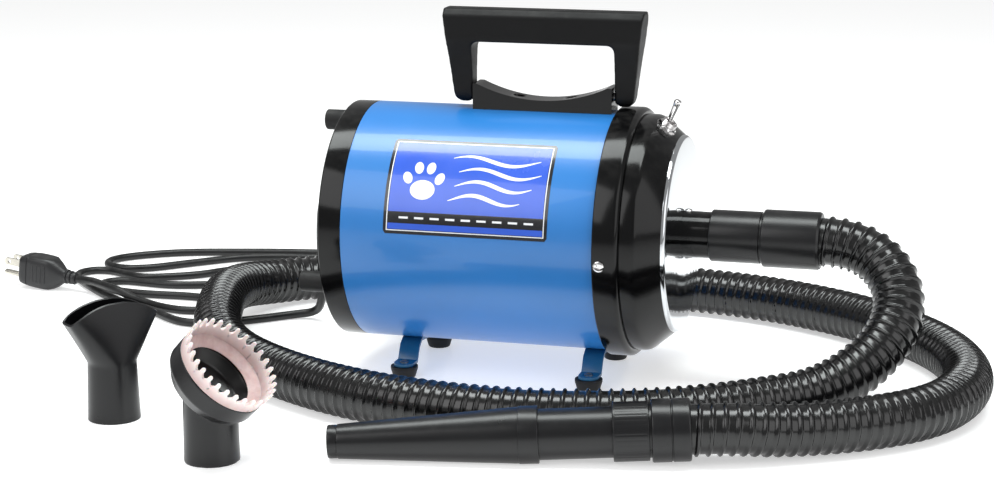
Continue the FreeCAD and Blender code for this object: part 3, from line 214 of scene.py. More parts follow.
def surface(name, colour, roughness, metallic=0.0, mottling=0.08, mottle_scale=35.0, grain=0.00002,
            grain_scale=1400.0, waviness=0.0, wave_scale=90.0, coat=0.0, dust=0.06, wear=0.0,
            wear_colour=None, stretch=(1.0, 1.0, 1.0), roughness_swing=0.25, **numbers):
    """A moulded, painted or metal finish: clouded colour, smudged gloss, grain, dust and wear."""
    finish = Finish(name, stretch)
    colour = linear(*colour)
    clouds = finish.noise(mottle_scale, 4.0)
    spread = finish.ranged(clouds, 0.3, 0.7, 0.0, 1.0)
    paint = finish.mixed(spread, scaled(colour, 1.0 - mottling), scaled(colour, 1.0 + mottling))
    if dust:
        specks = finish.ranged(finish.noise(120.0, 5.0), 0.42, 0.72, 0.0, dust)
        film = finish.product(finish.upward(), specks)
        paint = finish.mixed(film, paint, [0.62, 0.6, 0.57, 1.0])
    if wear:
        patches = finish.ranged(finish.noise(260.0, 5.0), 0.45, 0.6, 0.0, wear)
        rubbed = finish.product(finish.edges(), patches)
        paint = finish.mixed(rubbed, paint, (wear_colour or scaled(colour, 2.2)))
    finish.link(paint, finish.shader.inputs["Base Color"])
    smudges = finish.ranged(finish.noise(mottle_scale * 0.55, 5.0, 0.65), 0.3, 0.7,
                            roughness * (1.0 - roughness_swing), roughness * (1.0 + roughness_swing))
    finish.link(smudges, finish.shader.inputs["Roughness"])
    normal = finish.bump(finish.noise(grain_scale, 3.0), grain)
    if waviness:
        normal = finish.bump(finish.noise(wave_scale, 1.0), waviness, before=normal)
    finish.link(normal, finish.shader.inputs["Normal"])
    finish.set(Metallic=metallic)
    if coat:
        finish.set(Coat_Weight=coat, Coat_Roughness=0.04)
    finish.set(**numbers)


def soft_skirt_material():
    """Pale silicone with painted shade: darker and warmer from the fingers' free ends down to the
    root, where the cup's opening shades it.
    """
    finish = Finish("soft_ring")
    tip = finish.new("ShaderNodeAttribute")
    tip.attribute_name = "tip"
    clouds = finish.ranged(finish.noise(220.0, 4.0), 0.3, 0.7, 0.0, 0.35)
    # painted shade: the root colour (184, 152, 150) darkens the skirt towards the root, and the free
    # ends keep the pale colour (240, 232, 230)
    body = finish.mixed(finish.ranged(tip.outputs["Fac"], 0.0, 0.75, 0.0, 1.0),
                        linear(184, 152, 150) + [1.0], linear(240, 232, 230) + [1.0])
    shade = finish.mixed(clouds, body, linear(222, 204, 200) + [1.0])
    finish.link(shade, finish.shader.inputs["Base Color"])
    finish.link(finish.ranged(finish.noise(90.0, 3.0), 0.3, 0.7, 0.42, 0.58),
                finish.shader.inputs["Roughness"])
    finish.link(finish.bump(finish.noise(1500.0, 2.0), 0.00003), finish.shader.inputs["Normal"])
    finish.set(Subsurface_Weight=0.25, Subsurface_Scale=0.003)


surface("shell_paint", (38, 118, 192), 0.32, mottling=0.04, mottle_scale=14.0,
        grain=0.000012, grain_scale=2600.0, waviness=0.000006, wave_scale=60.0,
        coat=0.3, dust=0.0, wear=0.3, roughness_swing=0.08)
surface("black_gloss", (8, 8, 9), 0.13, mottling=0.12, waviness=0.000012,
        wave_scale=120.0, coat=0.05, dust=0.02, wear=0.15, Specular_IOR_Level=0.24)
surface("black_satin", (9, 9, 10), 0.46, mottling=0.12, grain=0.00006,
        grain_scale=1900.0, dust=0.015, wear=0.1, Specular_IOR_Level=0.18)
surface("nozzle_satin", (15, 15, 17), 0.3, mottling=0.06, grain=0.00002,
        grain_scale=2200.0, dust=0.015, wear=0.1, roughness_swing=0.12,
        Specular_IOR_Level=0.4)
surface("black_rubber", (17, 17, 18), 0.55, mottling=0.15, grain=0.00008,
        grain_scale=1500.0, dust=0.05, Specular_IOR_Level=0.35)
surface("hose_plastic", (9, 9, 10), 0.2, mottling=0.14, mottle_scale=60.0,
        grain=0.00001, grain_scale=1800.0, dust=0.02, coat=0.05)
surface("cord_jacket", (15, 15, 16), 0.4, mottling=0.15, mottle_scale=80.0,
        grain=0.00004, grain_scale=1700.0, dust=0.05, Specular_IOR_Level=0.4)
surface("leg_paint", (10, 92, 138), 0.38, mottling=0.07, grain=0.00002,
        grain_scale=1600.0, coat=0.1, dust=0.03, wear=0.2,
        wear_colour=[0.1, 0.2, 0.3, 1.0])
surface("mirror_face", (206, 209, 212), 0.05, metallic=1.0, mottling=0.02,
        mottle_scale=20.0, grain=0.000004, grain_scale=900.0, waviness=0.00001,
        wave_scale=35.0, dust=0.0, roughness_swing=0.3)
surface("chrome_metal", (222, 220, 220), 0.12, metallic=1.0, mottling=0.06,
        mottle_scale=150.0, grain=0.00001, dust=0.0)
surface("steel", (150, 150, 152), 0.36, metallic=1.0, mottling=0.1,
        mottle_scale=90.0, stretch=(1.0, 1.0, 6.0))
surface("aluminium_cast", (168, 170, 172), 0.5, metallic=1.0,
        mottling=0.08, grain=0.0001, grain_scale=700.0)
surface("brass_pins", (214, 190, 130), 0.22, metallic=1.0, mottling=0.1,
        mottle_scale=200.0, dust=0.0)
surface("nickel_pins", (198, 194, 184), 0.24, metallic=1.0, mottling=0.08,
        mottle_scale=200.0, dust=0.0)
surface("carbon", (40, 40, 42), 0.6, mottling=0.2, grain=0.0001)
surface("copper_wire", (196, 112, 66), 0.3, metallic=1.0, mottling=0.15,
        mottle_scale=400.0, stretch=(1.0, 5.0, 1.0))
surface("foam", (46, 46, 48), 0.95, mottling=0.4, mottle_scale=700.0, grain=0.0005,
        grain_scale=600.0)
surface("plug_rubber", (24, 24, 26), 0.4, mottling=0.14, grain=0.00004,
        grain_scale=1500.0, dust=0.04, wear=0.2)
surface("badge_blue", (46, 90, 204), 0.24, mottling=0.05, coat=0.5, dust=0.03)
surface("badge_black", (16, 17, 22), 0.22, mottling=0.1, coat=0.5, dust=0.03)
surface("badge_white", (236, 238, 242), 0.26, mottling=0.03, coat=0.4, dust=0.0)
soft_skirt_material()


# ------------------------------------------------------------------ mesh helpers
SLOTS = {"nozzle_satin": "black_satin", "plug_rubber": "black_rubber", "nickel_pins": "brass_pins",
         "badge_blue": "badge_print", "badge_black": "badge_print", "badge_white": "badge_print"}


def finish_piece(name, grid, finish, body, stands_for=(), place=None, sharp=38.0, tidy=True):
    """A bmesh in millimetres as a placed, smooth-shaded piece that rides on a body."""
    if tidy:
        bmesh.ops.recalc_face_normals(grid, faces=grid.faces)
    bmesh.ops.scale(grid, vec=(MM, MM, MM), verts=grid.verts)
    mesh = bpy.data.meshes.new(name)
    grid.to_mesh(mesh)
    grid.free()
    if place:
        mesh.transform(place)
    mesh.polygons.foreach_set("use_smooth", [True] * len(mesh.polygons))
    mesh.set_sharp_from_angle(angle=math.radians(sharp))
    mesh.materials.append(FINISHES[finish])
    made = bpy.data.objects.new(name, mesh)
    scene.collection.objects.link(made)
    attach(made, body)
    SLOTS.get(finish, finish)
    if stands_for:
        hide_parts(*stands_for)
    return made


def rounded(outline, closed):
    """(x, radius) points of an outline; a third number rounds that corner."""
    points = []
    count = len(outline)
    for index, corner in enumerate(outline):
        here = Vector(corner[:2])
        radius = corner[2] if len(corner) > 2 else 0.0
        if not radius or (not closed and index in (0, count - 1)):
            points.append(here)
            continue
        before = (Vector(outline[index - 1][:2]) - here).normalized()
        after = (Vector(outline[(index + 1) % count][:2]) - here).normalized()
        half = before.angle(after) / 2.0
        centre = here + (before + after).normalized() * (radius / math.sin(half))
        reach = radius / math.tan(half)
        start = here + before * reach - centre
        sweep = start.angle_signed(here + after * reach - centre)
        steps = max(3, int(abs(math.degrees(sweep)) / 14.0))
        for step in range(steps + 1):
            turn = -sweep * step / steps
            points.append(centre + Matrix.Rotation(turn, 2) @ start)
    return points


def turned_mesh(grid, outline, segments=96, closed=True, shape=None, place=None):
    """Turn an outline about X into grid; shape(x, radius, angle) may change a radius."""
    points = rounded(outline, closed)
    rows = []
    for step in range(segments):
        angle = TAU * step / segments
        row = []
        for x, radius in points:
            real = shape(x, radius, angle) if shape else radius
            row.append((x, real * math.cos(angle), real * math.sin(angle)))
        rows.append(row)
    centres = {}
    made = []
    for row in rows:
        line = []
        for index, spot in enumerate(row):
            at = Vector(spot)
            if points[index][1] < 0.001:
                if index not in centres:
                    centres[index] = grid.verts.new(place @ at if place else at)
                line.append(centres[index])
            else:
                line.append(grid.verts.new(place @ at if place else at))
        made.append(line)
    count = len(points)
    for step in range(segments):
        one = made[step]
        two = made[(step + 1) % segments]
        for index in range(count if closed else count - 1):
            after = (index + 1) % count
            ring = [one[index], one[after], two[after], two[index]]
            corners = [vert for number, vert in enumerate(ring) if vert not in ring[:number]]
            if len(corners) > 2:
                grid.faces.new(corners)


def add_strips(grid, rows, ring=True):
    """Faces between neighbouring rows of points; a ring's rows close on themselves."""
    for one, two in zip(rows, rows[1:]):
        for start in range(len(one) if ring else len(one) - 1):
            after = (start + 1) % len(one)
            grid.faces.new((one[start], one[after], two[after], two[start]))


def add_slab(grid, lower, upper):
    """A closed slab between two layers, each a list of rows of points."""
    for layer in (lower, upper):
        add_strips(grid, layer, ring=False)
    for edge in (0, -1):
        add_strips(grid, [lower[edge], upper[edge]], ring=False)
        add_strips(grid, [[row[edge] for row in lower], [row[edge] for row in upper]], ring=False)


ON_AXIS = shifted(0, 0, AXIS_HEIGHT)


def lathe(name, outline, finish, stands_for, body="drum", place=ON_AXIS, **how):
    grid = bmesh.new()
    turned_mesh(grid, outline, **how)
    return finish_piece(name, grid, finish, body, stands_for, place)


def node_grid(node):
    """A CAD node's own shape, in millimetres, with its seams joined."""
    grid = bmesh.new()
    grid.from_mesh(nodes[node].data)
    bmesh.ops.scale(grid, vec=(1.0 / MM,) * 3, verts=grid.verts)
    bmesh.ops.remove_doubles(grid, verts=grid.verts, dist=0.002)
    return grid


def softened(node, finish, width, segments=3):
    """A CAD node's own shape with its edges rounded, as a new piece that replaces it."""
    grid = node_grid(node)
    bmesh.ops.dissolve_limit(grid, angle_limit=math.radians(0.6), verts=grid.verts, edges=grid.edges)
    made = finish_piece(node + "_shape", grid, finish, "drum", [node])
    bevel = made.modifiers.new("edges", "BEVEL")
    bevel.width = width * MM
    bevel.segments = segments
    bevel.limit_method = "ANGLE"
    bevel.angle_limit = math.radians(30.0)
    bevel.harden_normals = True


def moulded(node, finish, body, voxel, rounds):
    """A CAD node's own shape as one moulding: a fine even skin with every edge rounded."""
    made = finish_piece(node + "_shape", node_grid(node), finish, body, [node], sharp=180.0)
    skin = made.modifiers.new("skin", "REMESH")
    skin.mode = "VOXEL"
    skin.voxel_size = voxel * MM
    skin.use_smooth_shade = True
    rounding = made.modifiers.new("rounding", "SMOOTH")
    rounding.factor = 0.5
    rounding.iterations = rounds


# ------------------------------------------------------------------ cords
def route_curve(name, points, floor_height):
    """One smooth NURBS line through a route; a point of two numbers lies on the floor."""
    data = bpy.data.curves.new(name, "CURVE")
    data.dimensions = "3D"
    line = data.splines.new("NURBS")
    line.points.add(len(points) - 1)
    for knot, spot in zip(line.points, points):
        x, y, z = spot if len(spot) == 3 else (*spot, floor_height)
        knot.co = (x * MM, y * MM, z * MM, 1.0)
    line.order_u = 3
    line.use_endpoint_u = True
    line.resolution_u = 12
    made = bpy.data.objects.new(name, data)
    scene.collection.objects.link(made)
    return made


def line_points(curve):
    """The points of a curve with no bevel, as Blender draws it."""
    mesh = bpy.data.meshes.new_from_object(curve)
    points = [vert.co.copy() for vert in mesh.vertices]
    bpy.data.meshes.remove(mesh)
    return points


def run_length(points):
    return sum((two - one).length for one, two in zip(points, points[1:]))


def even_steps(points, step):
    """Points along the same line, an even distance apart."""
    total = run_length(points)
    count = max(2, round(total / step))
    wanted = [total * index / count for index in range(count + 1)]
    spots = []
    travelled = 0.0
    index = 0
    for distance in wanted:
        while index < len(points) - 2:
            length = (points[index + 1] - points[index]).length
            if travelled + length >= distance:
                break
            travelled += length
            index += 1
        run = points[index + 1] - points[index]
        spots.append(points[index] + run * min(1.0, (distance - travelled) / max(run.length, 1e-9)))
    return spots


WAND_TIP = (-49.5, -249.9, 11.9)
ON_WAND = shifted(*WAND_TIP) @ turned(13.2, "Z") @ turned(-2.5, "Y")
WAND_END = 244.8


def wand_point(distance):
    """A point on the wand's axis in millimetres, measured from the nozzle's tip."""
    return tuple((ON_WAND @ Vector((distance * MM, 0, 0))) / MM)


HOSE_ROUTE = [
    (247.35, 0, 112.7), (264, 0, 112.7), (287, -3, 105), (304, -14, 89), (309, -29, 69),
    (301, -47, 50), (282, -67, 33), (257, -87, 21.5), (228, -106), (196, -133), (156, -156),
    (112, -170), (50, -181), (-20, -174), (-82, -153), (-140, -118), (-186, -80, 20.5),
    (-214, -45, 27), (-232, 5, 31.5), (-244, 50, 31.5), (-248, 95, 27), (-240, 133, 20.5),
    (-214, 164), (-165, 187), (-90, 199), (0, 205), (90, 208), (170, 193), (235, 163), (290, 121),
    (334, 66), (357, 5), (358, -50), (340, -101), (300, -141), (248, -171, 19.6),
    wand_point(WAND_END + 27.0), wand_point(WAND_END),
]
FLOOR_HOSE = 18.9
HOSE_RADIUS = 18.85
RIB_PITCH = 8.1
RIB_DEPTH = 1.8
STEPS_PER_RIB = 12
RIB_SIDES = 40


def rib_height(phase):
    """1 on a rib's narrow crest, 0 on the wide band between two ribs."""
    slope = min(1.0, max(0.0, (abs(phase - 0.5) - 0.07) / 0.13))
    return 1.0 - slope * slope * (3.0 - 2.0 * slope)


def build_hose():
    guide = route_curve("hose_guide", HOSE_ROUTE, FLOOR_HOSE)
    path = even_steps(line_points(guide), RIB_PITCH / STEPS_PER_RIB * MM)
    bpy.data.objects.remove(guide)
    grid = bmesh.new()
    rows = []
    forward = (path[1] - path[0]).normalized()
    across = forward.cross(Vector((0, 0, 1))).normalized()
    travelled = 0.0
    for index, spot in enumerate(path):
        ahead = (path[min(index + 1, len(path) - 1)] - path[max(index - 1, 0)]).normalized()
        across = (across - ahead * across.dot(ahead)).normalized()
        above = ahead.cross(across)
        if index:
            travelled += (spot - path[index - 1]).length / MM
        row = []
        for side in range(RIB_SIDES):
            angle = TAU * side / RIB_SIDES
            phase = (travelled / RIB_PITCH + side / RIB_SIDES) % 1.0
            radius = HOSE_RADIUS - RIB_DEPTH * (1.0 - rib_height(phase))
            outward = across * math.cos(angle) + above * math.sin(angle)
            row.append(grid.verts.new(spot / MM + outward * radius))
        rows.append(row)
    add_strips(grid, rows)
    grid.faces.new(rows[0])
    grid.faces.new(rows[-1])
    return finish_piece("ribbed_hose", grid, "hose_plastic", "drum", ["hose"], sharp=60.0), path


FLOOR_CORD = 3.6
GLAND_EXIT = (-141.6, 70.0, 122.5)
CORD_ROUTE = [
    GLAND_EXIT, (-155, 70.5, 121.5), (-167, 72.5, 110), (-171, 76, 84), (-172, 81, 46),
    (-175, 88, 20), (-184, 100, 6.5), (-203, 98), (-228, 74), (-255, 54), (-278, 49), (-296, 56),
    # out to the left end of the hank, and back along its inner turn behind the drum
    (-329, 84), (-355, 95), (-390, 123), (-409, 142), (-424, 158), (-437, 173), (-443, 189),
    (-434, 203), (-417, 204), (-400, 194), (-384, 187), (-366, 191), (-335, 208), (-316, 233),
    (-288, 252), (-240, 260), (-180, 256), (-110, 262), (-50, 266), (-14, 272), (0, 284),
    (-10, 297), (-44, 302), (-110, 300), (-180, 304), (-250, 300), (-296, 292), (-328, 279),
    (-352, 257), (-367, 243), (-387, 223), (-405, 215),
    # round the left tip again, and back along the outer turn
    (-423, 217), (-435, 229), (-436, 245), (-426, 260), (-410, 273), (-388, 286), (-366, 294),
    (-334, 302), (-298, 311), (-250, 319), (-180, 324), (-100, 328), (-20, 331), (26, 328),
    (46, 310), (44, 276), (30, 250), (-8, 241), (-60, 240), (-104, 236), (-150, 225), (-200, 212),
    (-250, 197), (-290, 185), (-320, 173), (-346, 166), (-374, 170), (-391, 172), (-404, 164),
    (-405, 151), (-392, 140), (-372, 133),
    # the short inner return, then up over the outer strand to the plug
    (-349, 131), (-310, 134), (-284, 128), (-272, 108), (-280, 91), (-297, 86), (-316, 90),
    (-335, 99, 3.8), (-354, 105, 7.0), (-367, 108, 11.6), (-378, 112, 12.8), (-391, 121, 12.8),
    (-403, 132, 11.9),
]
PLUG_TURN = 172.0
PLUG_LIFT = 6.0
ON_PLUG = shifted(-421.0, 139.0, 11.2) @ turned(PLUG_TURN, "Z") @ turned(-PLUG_LIFT, "Y")


def plug_point(distance):
    return tuple((ON_PLUG @ Vector((distance * MM, 0, 0))) / MM)


def build_cord():
    """The mains cord as one line, from the gland round the hank to the plug."""
    cord = route_curve("mains_cord", CORD_ROUTE + [plug_point(-6.0), plug_point(2.0)], FLOOR_CORD)
    length = run_length(line_points(cord))
    cord.data.bevel_depth = 3.5 * MM
    cord.data.bevel_resolution = 5
    cord.data.use_fill_caps = True
    cord.data.materials.append(FINISHES["cord_jacket"])
    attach(cord, "drum")
    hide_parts("cord_lead", "cord_hank", "cord_tail")
    print("mains cord length %.3f" % length)
    return cord


# ------------------------------------------------------------------ drum and ends
def strip(start, end, outer, inner, edge=0.4):
    """A tube's outline with rounded outer corners."""
    return [(start, inner), (end, inner), (end, outer, edge), (start, outer, edge)]


def build_drum():
    lathe("drum_shell", strip(-95.2, 95.2, 90.0, 88.8, 0.35), "shell_paint", ["shell"], segments=160)
    lathe("rear_ring", [(-113.1, 86.5, 0.6), (-87.25, 86.5), (-87.25, 88.7), (-95.3, 88.7),
                        (-95.3, 90.0, 0.4), (-112.0, 90.0, 0.9), (-113.1, 88.9, 0.5)],
          "black_gloss", ["rear_band"], segments=160)
    lathe("front_ring", [(87.25, 86.5), (114.3, 86.5), (114.3, 93.3, 4.4), (95.3, 93.3, 1.2),
                         (95.3, 88.7), (87.25, 88.7)],
          "black_gloss", ["front_band"], segments=160)
    lathe("end_dome", [(114.3, 88.5, 0.3), (124.2, 88.3, 9.0), (141.6, 73.75, 0.2), (141.6, 17.4),
                       (139.1, 17.4), (139.1, 72.2), (122.6, 86.0, 6.0), (114.3, 83.9),
                       (106.3, 83.9), (106.3, 86.4), (114.3, 86.4)],
          "black_gloss", ["front_dome"], segments=160)
    lathe("end_face", [(141.62, 17.45), (144.9, 17.45, 0.3), (144.9, 73.7, 2.9), (141.62, 73.7)],
          "mirror_face", ["face_plate"], segments=200)
    lathe("outlet_pipe", [(137.05, 15.3), (192.0, 15.3, 0.5), (192.0, 17.3, 0.8), (139.05, 17.3),
                          (139.05, 24.0), (137.05, 24.0)],
          "black_gloss", ["outlet_tube"])


def build_hose_ends():
    bore = 17.42
    lathe("inlet_cuff", [(165.7, bore), (165.7, 19.3, 1.3), (203.0, 19.3, 0.5), (203.0, 18.0),
                         (226.0, 18.0), (226.0, 15.4), (194.0, 15.4), (194.0, bore)],
          "nozzle_satin", ["hose_inlet_cuff"])
    lathe("inlet_swivel", [(204.6, 18.1), (204.6, 21.35, 1.6), (245.4, 21.35, 0.6),
                           (247.3, 20.2, 0.6), (247.3, 15.5), (227.0, 15.5), (227.0, 18.1)],
          "nozzle_satin", ["hose_inlet_swivel"])
    lathe("wand_cuff", [(218.4, 18.3), (218.4, 21.5, 1.2), (231.4, 21.5, 0.4), (231.8, 20.8),
                        (232.4, 20.8), (232.8, 21.5, 0.4), (244.8, 21.5, 1.6), (244.8, 15.5),
                        (231.0, 15.5), (231.0, 18.3)],
          "nozzle_satin", ["hose_end_cuff"], place=ON_WAND)

    def grooved(x, radius, angle):
        if radius < 20.0 or not 194.2 < x < 215.2:
            return radius
        return radius - 0.14 * max(0.0, math.cos(36.0 * angle)) ** 2

    ribs = [(192.4, 17.4), (192.4, 20.2, 0.8), (194.0, 20.2), (194.6, 20.2), (214.6, 20.2),
            (215.4, 20.2), (216.9, 20.2, 0.6), (216.9, 18.2), (230.9, 18.2), (230.9, 15.6),
            (208.0, 15.6), (208.0, 17.4)]
    lathe("wand_swivel", ribs, "nozzle_satin", ["hose_end_swivel"],
          place=ON_WAND, segments=288, shape=grooved)
    lathe("wand_pipe", strip(108.0, 207.8, 17.3, 15.2, 0.5), "nozzle_satin", ["wand_tube"],
          place=ON_WAND)


DIMPLE_X = 102.9
DIMPLE_ANGLE = 312.0
DIMPLE_RADIUS = 3.8


def build_blower_nozzle():
    def dimpled(x, radius, angle):
        off = (math.degrees(angle) - DIMPLE_ANGLE + 180.0) % 360.0 - 180.0
        spread = math.hypot(x - DIMPLE_X, math.radians(off) * radius) / DIMPLE_RADIUS
        if radius < 17.6 or spread >= 1.0:
            return radius
        return radius - 1.5 * math.sqrt(1.0 - spread * spread)

    start, end, steps = 6.7, 129.0, 60
    spots = [start + (end - start) * step / steps for step in range(1, steps)]
    spots += [DIMPLE_X - 4.2 + 0.7 * number for number in range(13)]
    taper = [(start, 11.8, 0.4)]
    taper += [(x, 11.8 + 7.4 * (x - start) / (end - start)) for x in sorted(spots)]
    outline = [(0, 9.6, 0.5), (0, 11.4, 0.9), (5.9, 11.4), (6.7, 11.1)] + taper + [
        (129.0, 19.1), (129.3, 19.6, 0.3), (142.6, 19.6, 0.8), (142.6, 17.4), (106.0, 17.4),
        (106.0, 15.6)]
    lathe("long_nozzle", outline, "nozzle_satin", ["blower_nozzle"],
          body="blower_tip", place=ON_WAND, segments=192, shape=dimpled)


# ------------------------------------------------------------------ loose nozzles
FLARE_PLACE = shifted(-230.2, -199.2, 0) @ turned(53.0, "Z")
FLARE_NECK = 42.6
FLARE_TOP = 92.0
FLARE_CREST = 86.0
FLARE_ARCH = 56.0


def flare_spot(height, angle, inset):
    """A point of the flare nozzle's wall: round at the neck, a flat-sided oval at the mouth."""
    part = max(0.0, (height - FLARE_NECK) / (FLARE_TOP - FLARE_NECK))
    if part:
        eased = part + 0.045 * math.sin(math.pi * part) * (part - 1.0)
        wide = 17.5 + 28.3 * eased - inset
        deep = 17.5 - 9.5 * part - inset
    else:
        wide = deep = 18.8 - 1.3 * height / FLARE_NECK - inset
    power = 2.0 / (2.0 + 2.2 * min(1.0, 1.6 * part))
    across, beside = math.cos(angle), math.sin(angle)
    return Vector((math.copysign(abs(across) ** power, across) * wide,
                   math.copysign(abs(beside) ** power, beside) * deep, height))


def flare_lip(spot):
    """The lip's height at a point: an arch across the mouth."""
    return FLARE_CREST - FLARE_ARCH + math.sqrt(FLARE_ARCH ** 2 - spot.x ** 2)


def build_flare_nozzle():
    sides = 160
    levels = 44
    grid = bmesh.new()
    walls = []
    for inset in (0.0, 2.0):
        columns = []
        for side in range(sides):
            angle = TAU * (side + 0.5) / sides
            top = 70.0
            for _ in range(40):
                top = 0.6 * top + 0.4 * flare_lip(flare_spot(top, angle, inset))
            columns.append([grid.verts.new(flare_spot(top * level / levels, angle, inset))
                            for level in range(levels + 1)])
        walls.append(list(zip(*columns)))
    outer, inner = walls
    lip = [grid.verts.new((one.co + two.co) / 2.0 + Vector((0, 0, 0.7)))
           for one, two in zip(outer[-1], inner[-1])]
    add_strips(grid, outer + [lip] + inner[::-1] + [outer[0]])
    finish_piece("fan_nozzle", grid, "nozzle_satin", "flare_tip", ["flare_nozzle"], FLARE_PLACE,
                 sharp=40.0)


HEAD_PLACE = shifted(-114.5, -273.4, 63.2) @ turned(-7.3, "Z") @ turned(-45.4, "Y")
FINGERS = 30
SKIRT_TIP = 12.9
NOTCH_DEPTH = 6.0


def skirt_spot(along, angle, side):
    """A point on the skirt's outside (side 1) or inside (side 0)."""
    part = max(0.0, along) / SKIRT_TIP
    outer = 34.2 + 1.6 * part
    inner = 31.6 + 2.0 * part
    radius = inner + (outer - inner) * side
    return Vector((along, radius * math.cos(angle), radius * math.sin(angle)))


def build_brush_ring():
    """A soft skirt with round-ended fingers, and its funnel inside the cup."""
    grid = bmesh.new()
    turned_mesh(grid, [(0.2, 34.1), (0.4, 31.7), (-5.0, 24.5), (-5.8, 25.2), (-2.6, 29.4),
                       (-2.6, 31.4), (0.1, 31.4)], segments=120)
    across = 9
    levels = 14
    root = SKIRT_TIP - NOTCH_DEPTH
    half_pitch = TAU / FINGERS / 2.0
    for finger in range(FINGERS):
        middle = TAU * (finger + 0.5) / FINGERS
        layers = []
        for side in (0.0, 1.0):
            layer = []
            for level in range(levels + 1):
                along = SKIRT_TIP * level / levels
                free = max(0.0, (along - root) / NOTCH_DEPTH)
                width = half_pitch * (1.0 - 0.62 * min(1.0, free * 3.0) ** 0.5)
                if free > 0.72:
                    width *= math.sqrt(max(0.05, 1.0 - ((free - 0.72) / 0.3) ** 2))
                pinch = 0.5 + (side - 0.5) * (1.0 - 0.35 * free)
                angles = [middle + (number / (across - 1) * 2.0 - 1.0) * width
                          for number in range(across)]
                layer.append([grid.verts.new(skirt_spot(along, angle, pinch)) for angle in angles])
            layers.append(layer)
        add_slab(grid, *layers)
    bmesh.ops.remove_doubles(grid, verts=grid.verts, dist=0.01)
    # How far each point lies towards the fingers' free ends; soft_ring uses it for painted shade,
    # darker at the root.
    tips = grid.verts.layers.float.new("tip")
    for vert in grid.verts:
        vert[tips] = min(1.0, max(0.0, vert.co.x / SKIRT_TIP)) ** 1.3
    finish_piece("finger_skirt", grid, "soft_ring", "brush_tip", ["brush_ring"],
                 HEAD_PLACE, sharp=55.0)


# ------------------------------------------------------------------ screws, feet and switch
def add_screw(grid, place, radius, height, cross):
    """A domed cross-head; its seat is at z 0 of the place."""
    sides = 64
    rings = 22
    place = place.copy()
    place.translation = place.translation / MM

    def spot(reach, side, lift):
        angle = TAU * side / sides + math.radians(cross)
        flat = reach * math.cos(angle), reach * math.sin(angle)
        return grid.verts.new(place @ Vector((*flat, lift)))

    rows = []
    for ring in range(1, rings + 1):
        reach = radius * ring / rings
        dome = height * math.sqrt(1.0 - 0.72 * (reach / radius) ** 2.6)
        row = []
        for side in range(sides):
            along = abs(reach * math.cos(TAU * side / sides))
            beside = abs(reach * math.sin(TAU * side / sides))
            in_cross = min(along, beside) < 0.15 * radius and max(along, beside) < 0.62 * radius
            row.append(spot(reach, side, dome - 0.55 * height * in_cross))
        rows.append(row)
    middle = grid.verts.new(place @ Vector((0, 0, 0.42 * height)))
    skirt = [spot(radius, side, 0.0) for side in range(sides)]
    add_strips(grid, rows + [skirt])
    for side in range(sides):
        grid.faces.new((middle, rows[0][side], rows[0][(side + 1) % sides]))
    grid.faces.new(skirt)


def screws(name, node, finish, spots, radius, height):
    """Screw heads at (place, cross turn), as one piece that replaces a CAD node."""
    grid = bmesh.new()
    for place, cross in spots:
        add_screw(grid, place, radius, height, cross)
    finish_piece(name, grid, finish, "drum", [node], sharp=45.0)


def build_screws():
    band = []
    for angle, cross in ((184.0, 30.0), (304.0, 10.0), (64.0, 50.0)):
        outward = shifted(100.9, 0, AXIS_HEIGHT) @ turned(angle - 90.0, "X") @ shifted(0, 0, 93.3)
        band.append((outward, cross))
    screws("band_screw_heads", "band_screws", "chrome_metal", band, 3.9, 1.7)
    outlet = [(shifted(148.0, 0, AXIS_HEIGHT) @ turned(turn, "X") @ shifted(0, 0, 17.3), cross)
              for turn, cross in ((0.0, 20.0), (180.0, 60.0))]
    screws("outlet_screw_heads", "outlet_screws", "chrome_metal", outlet, 2.7, 1.9)
    handle = [(shifted(x, 0, 207.0), cross) for x, cross in ((17.8, 15.0), (57.8, 40.0))]
    screws("saddle_screw_heads", "handle_screws", "chrome_metal", handle, 4.0, 2.2)
    feet = [(shifted(x, y, 11.2), cross) for x, y, cross in (
        (-61.1, -45.4, 25.0), (-61.1, 45.4, 70.0), (82.8, -45.4, 5.0), (82.8, 45.4, 50.0))]
    screws("foot_screw_heads", "foot_screws", "steel", feet, 3.3, 1.6)
    straps = [(shifted(x, 0, 20.4) @ turned(180.0, "X"), cross)
              for x, cross in ((-61.1, 20.0), (82.8, 65.0))]
    screws("strap_screw_heads", "strap_screws", "steel", straps, 3.6, 1.8)


def build_feet():
    grid = bmesh.new()
    outline = [(0, 2.0), (0, 8.4, 1.6), (6.8, 10.4, 0.8), (8.9, 10.4, 0.4), (8.9, 2.0)]
    for x in (-61.1, 82.8):
        for y in (-45.4, 45.4):
            place = Matrix.Translation((x, y, 0)) @ turned(-90.0, "Y")
            turned_mesh(grid, outline, segments=64, place=place)
    finish_piece("foot_pads", grid, "black_rubber", "drum", ["rubber_feet"])
    grid = bmesh.new()
    outline = [(-111.6, 0), (-111.6, 7.8), (-135.1, 7.8, 1.5), (-135.1, 3.4, 0.4),
               (-132.6, 3.4), (-132.6, 0)]
    for angle in (90.0, 210.0, 330.0):
        turn = math.radians(angle)
        place = Matrix.Translation((0, 75.0 * math.cos(turn), AXIS_HEIGHT + 75.0 * math.sin(turn)))
        turned_mesh(grid, outline, segments=64, closed=False, place=place)
    finish_piece("rear_pads", grid, "black_rubber", "drum", ["rear_bumpers"])


SWITCH_TILT = 39.9
SWITCH_TURN = 7.0
ON_SWITCH = (ON_AXIS @ turned(SWITCH_TURN, "X") @ shifted(131.8, 0, 81.55)
             @ turned(SWITCH_TILT - 90.0, "Y"))
LEVER_REST = 16.0


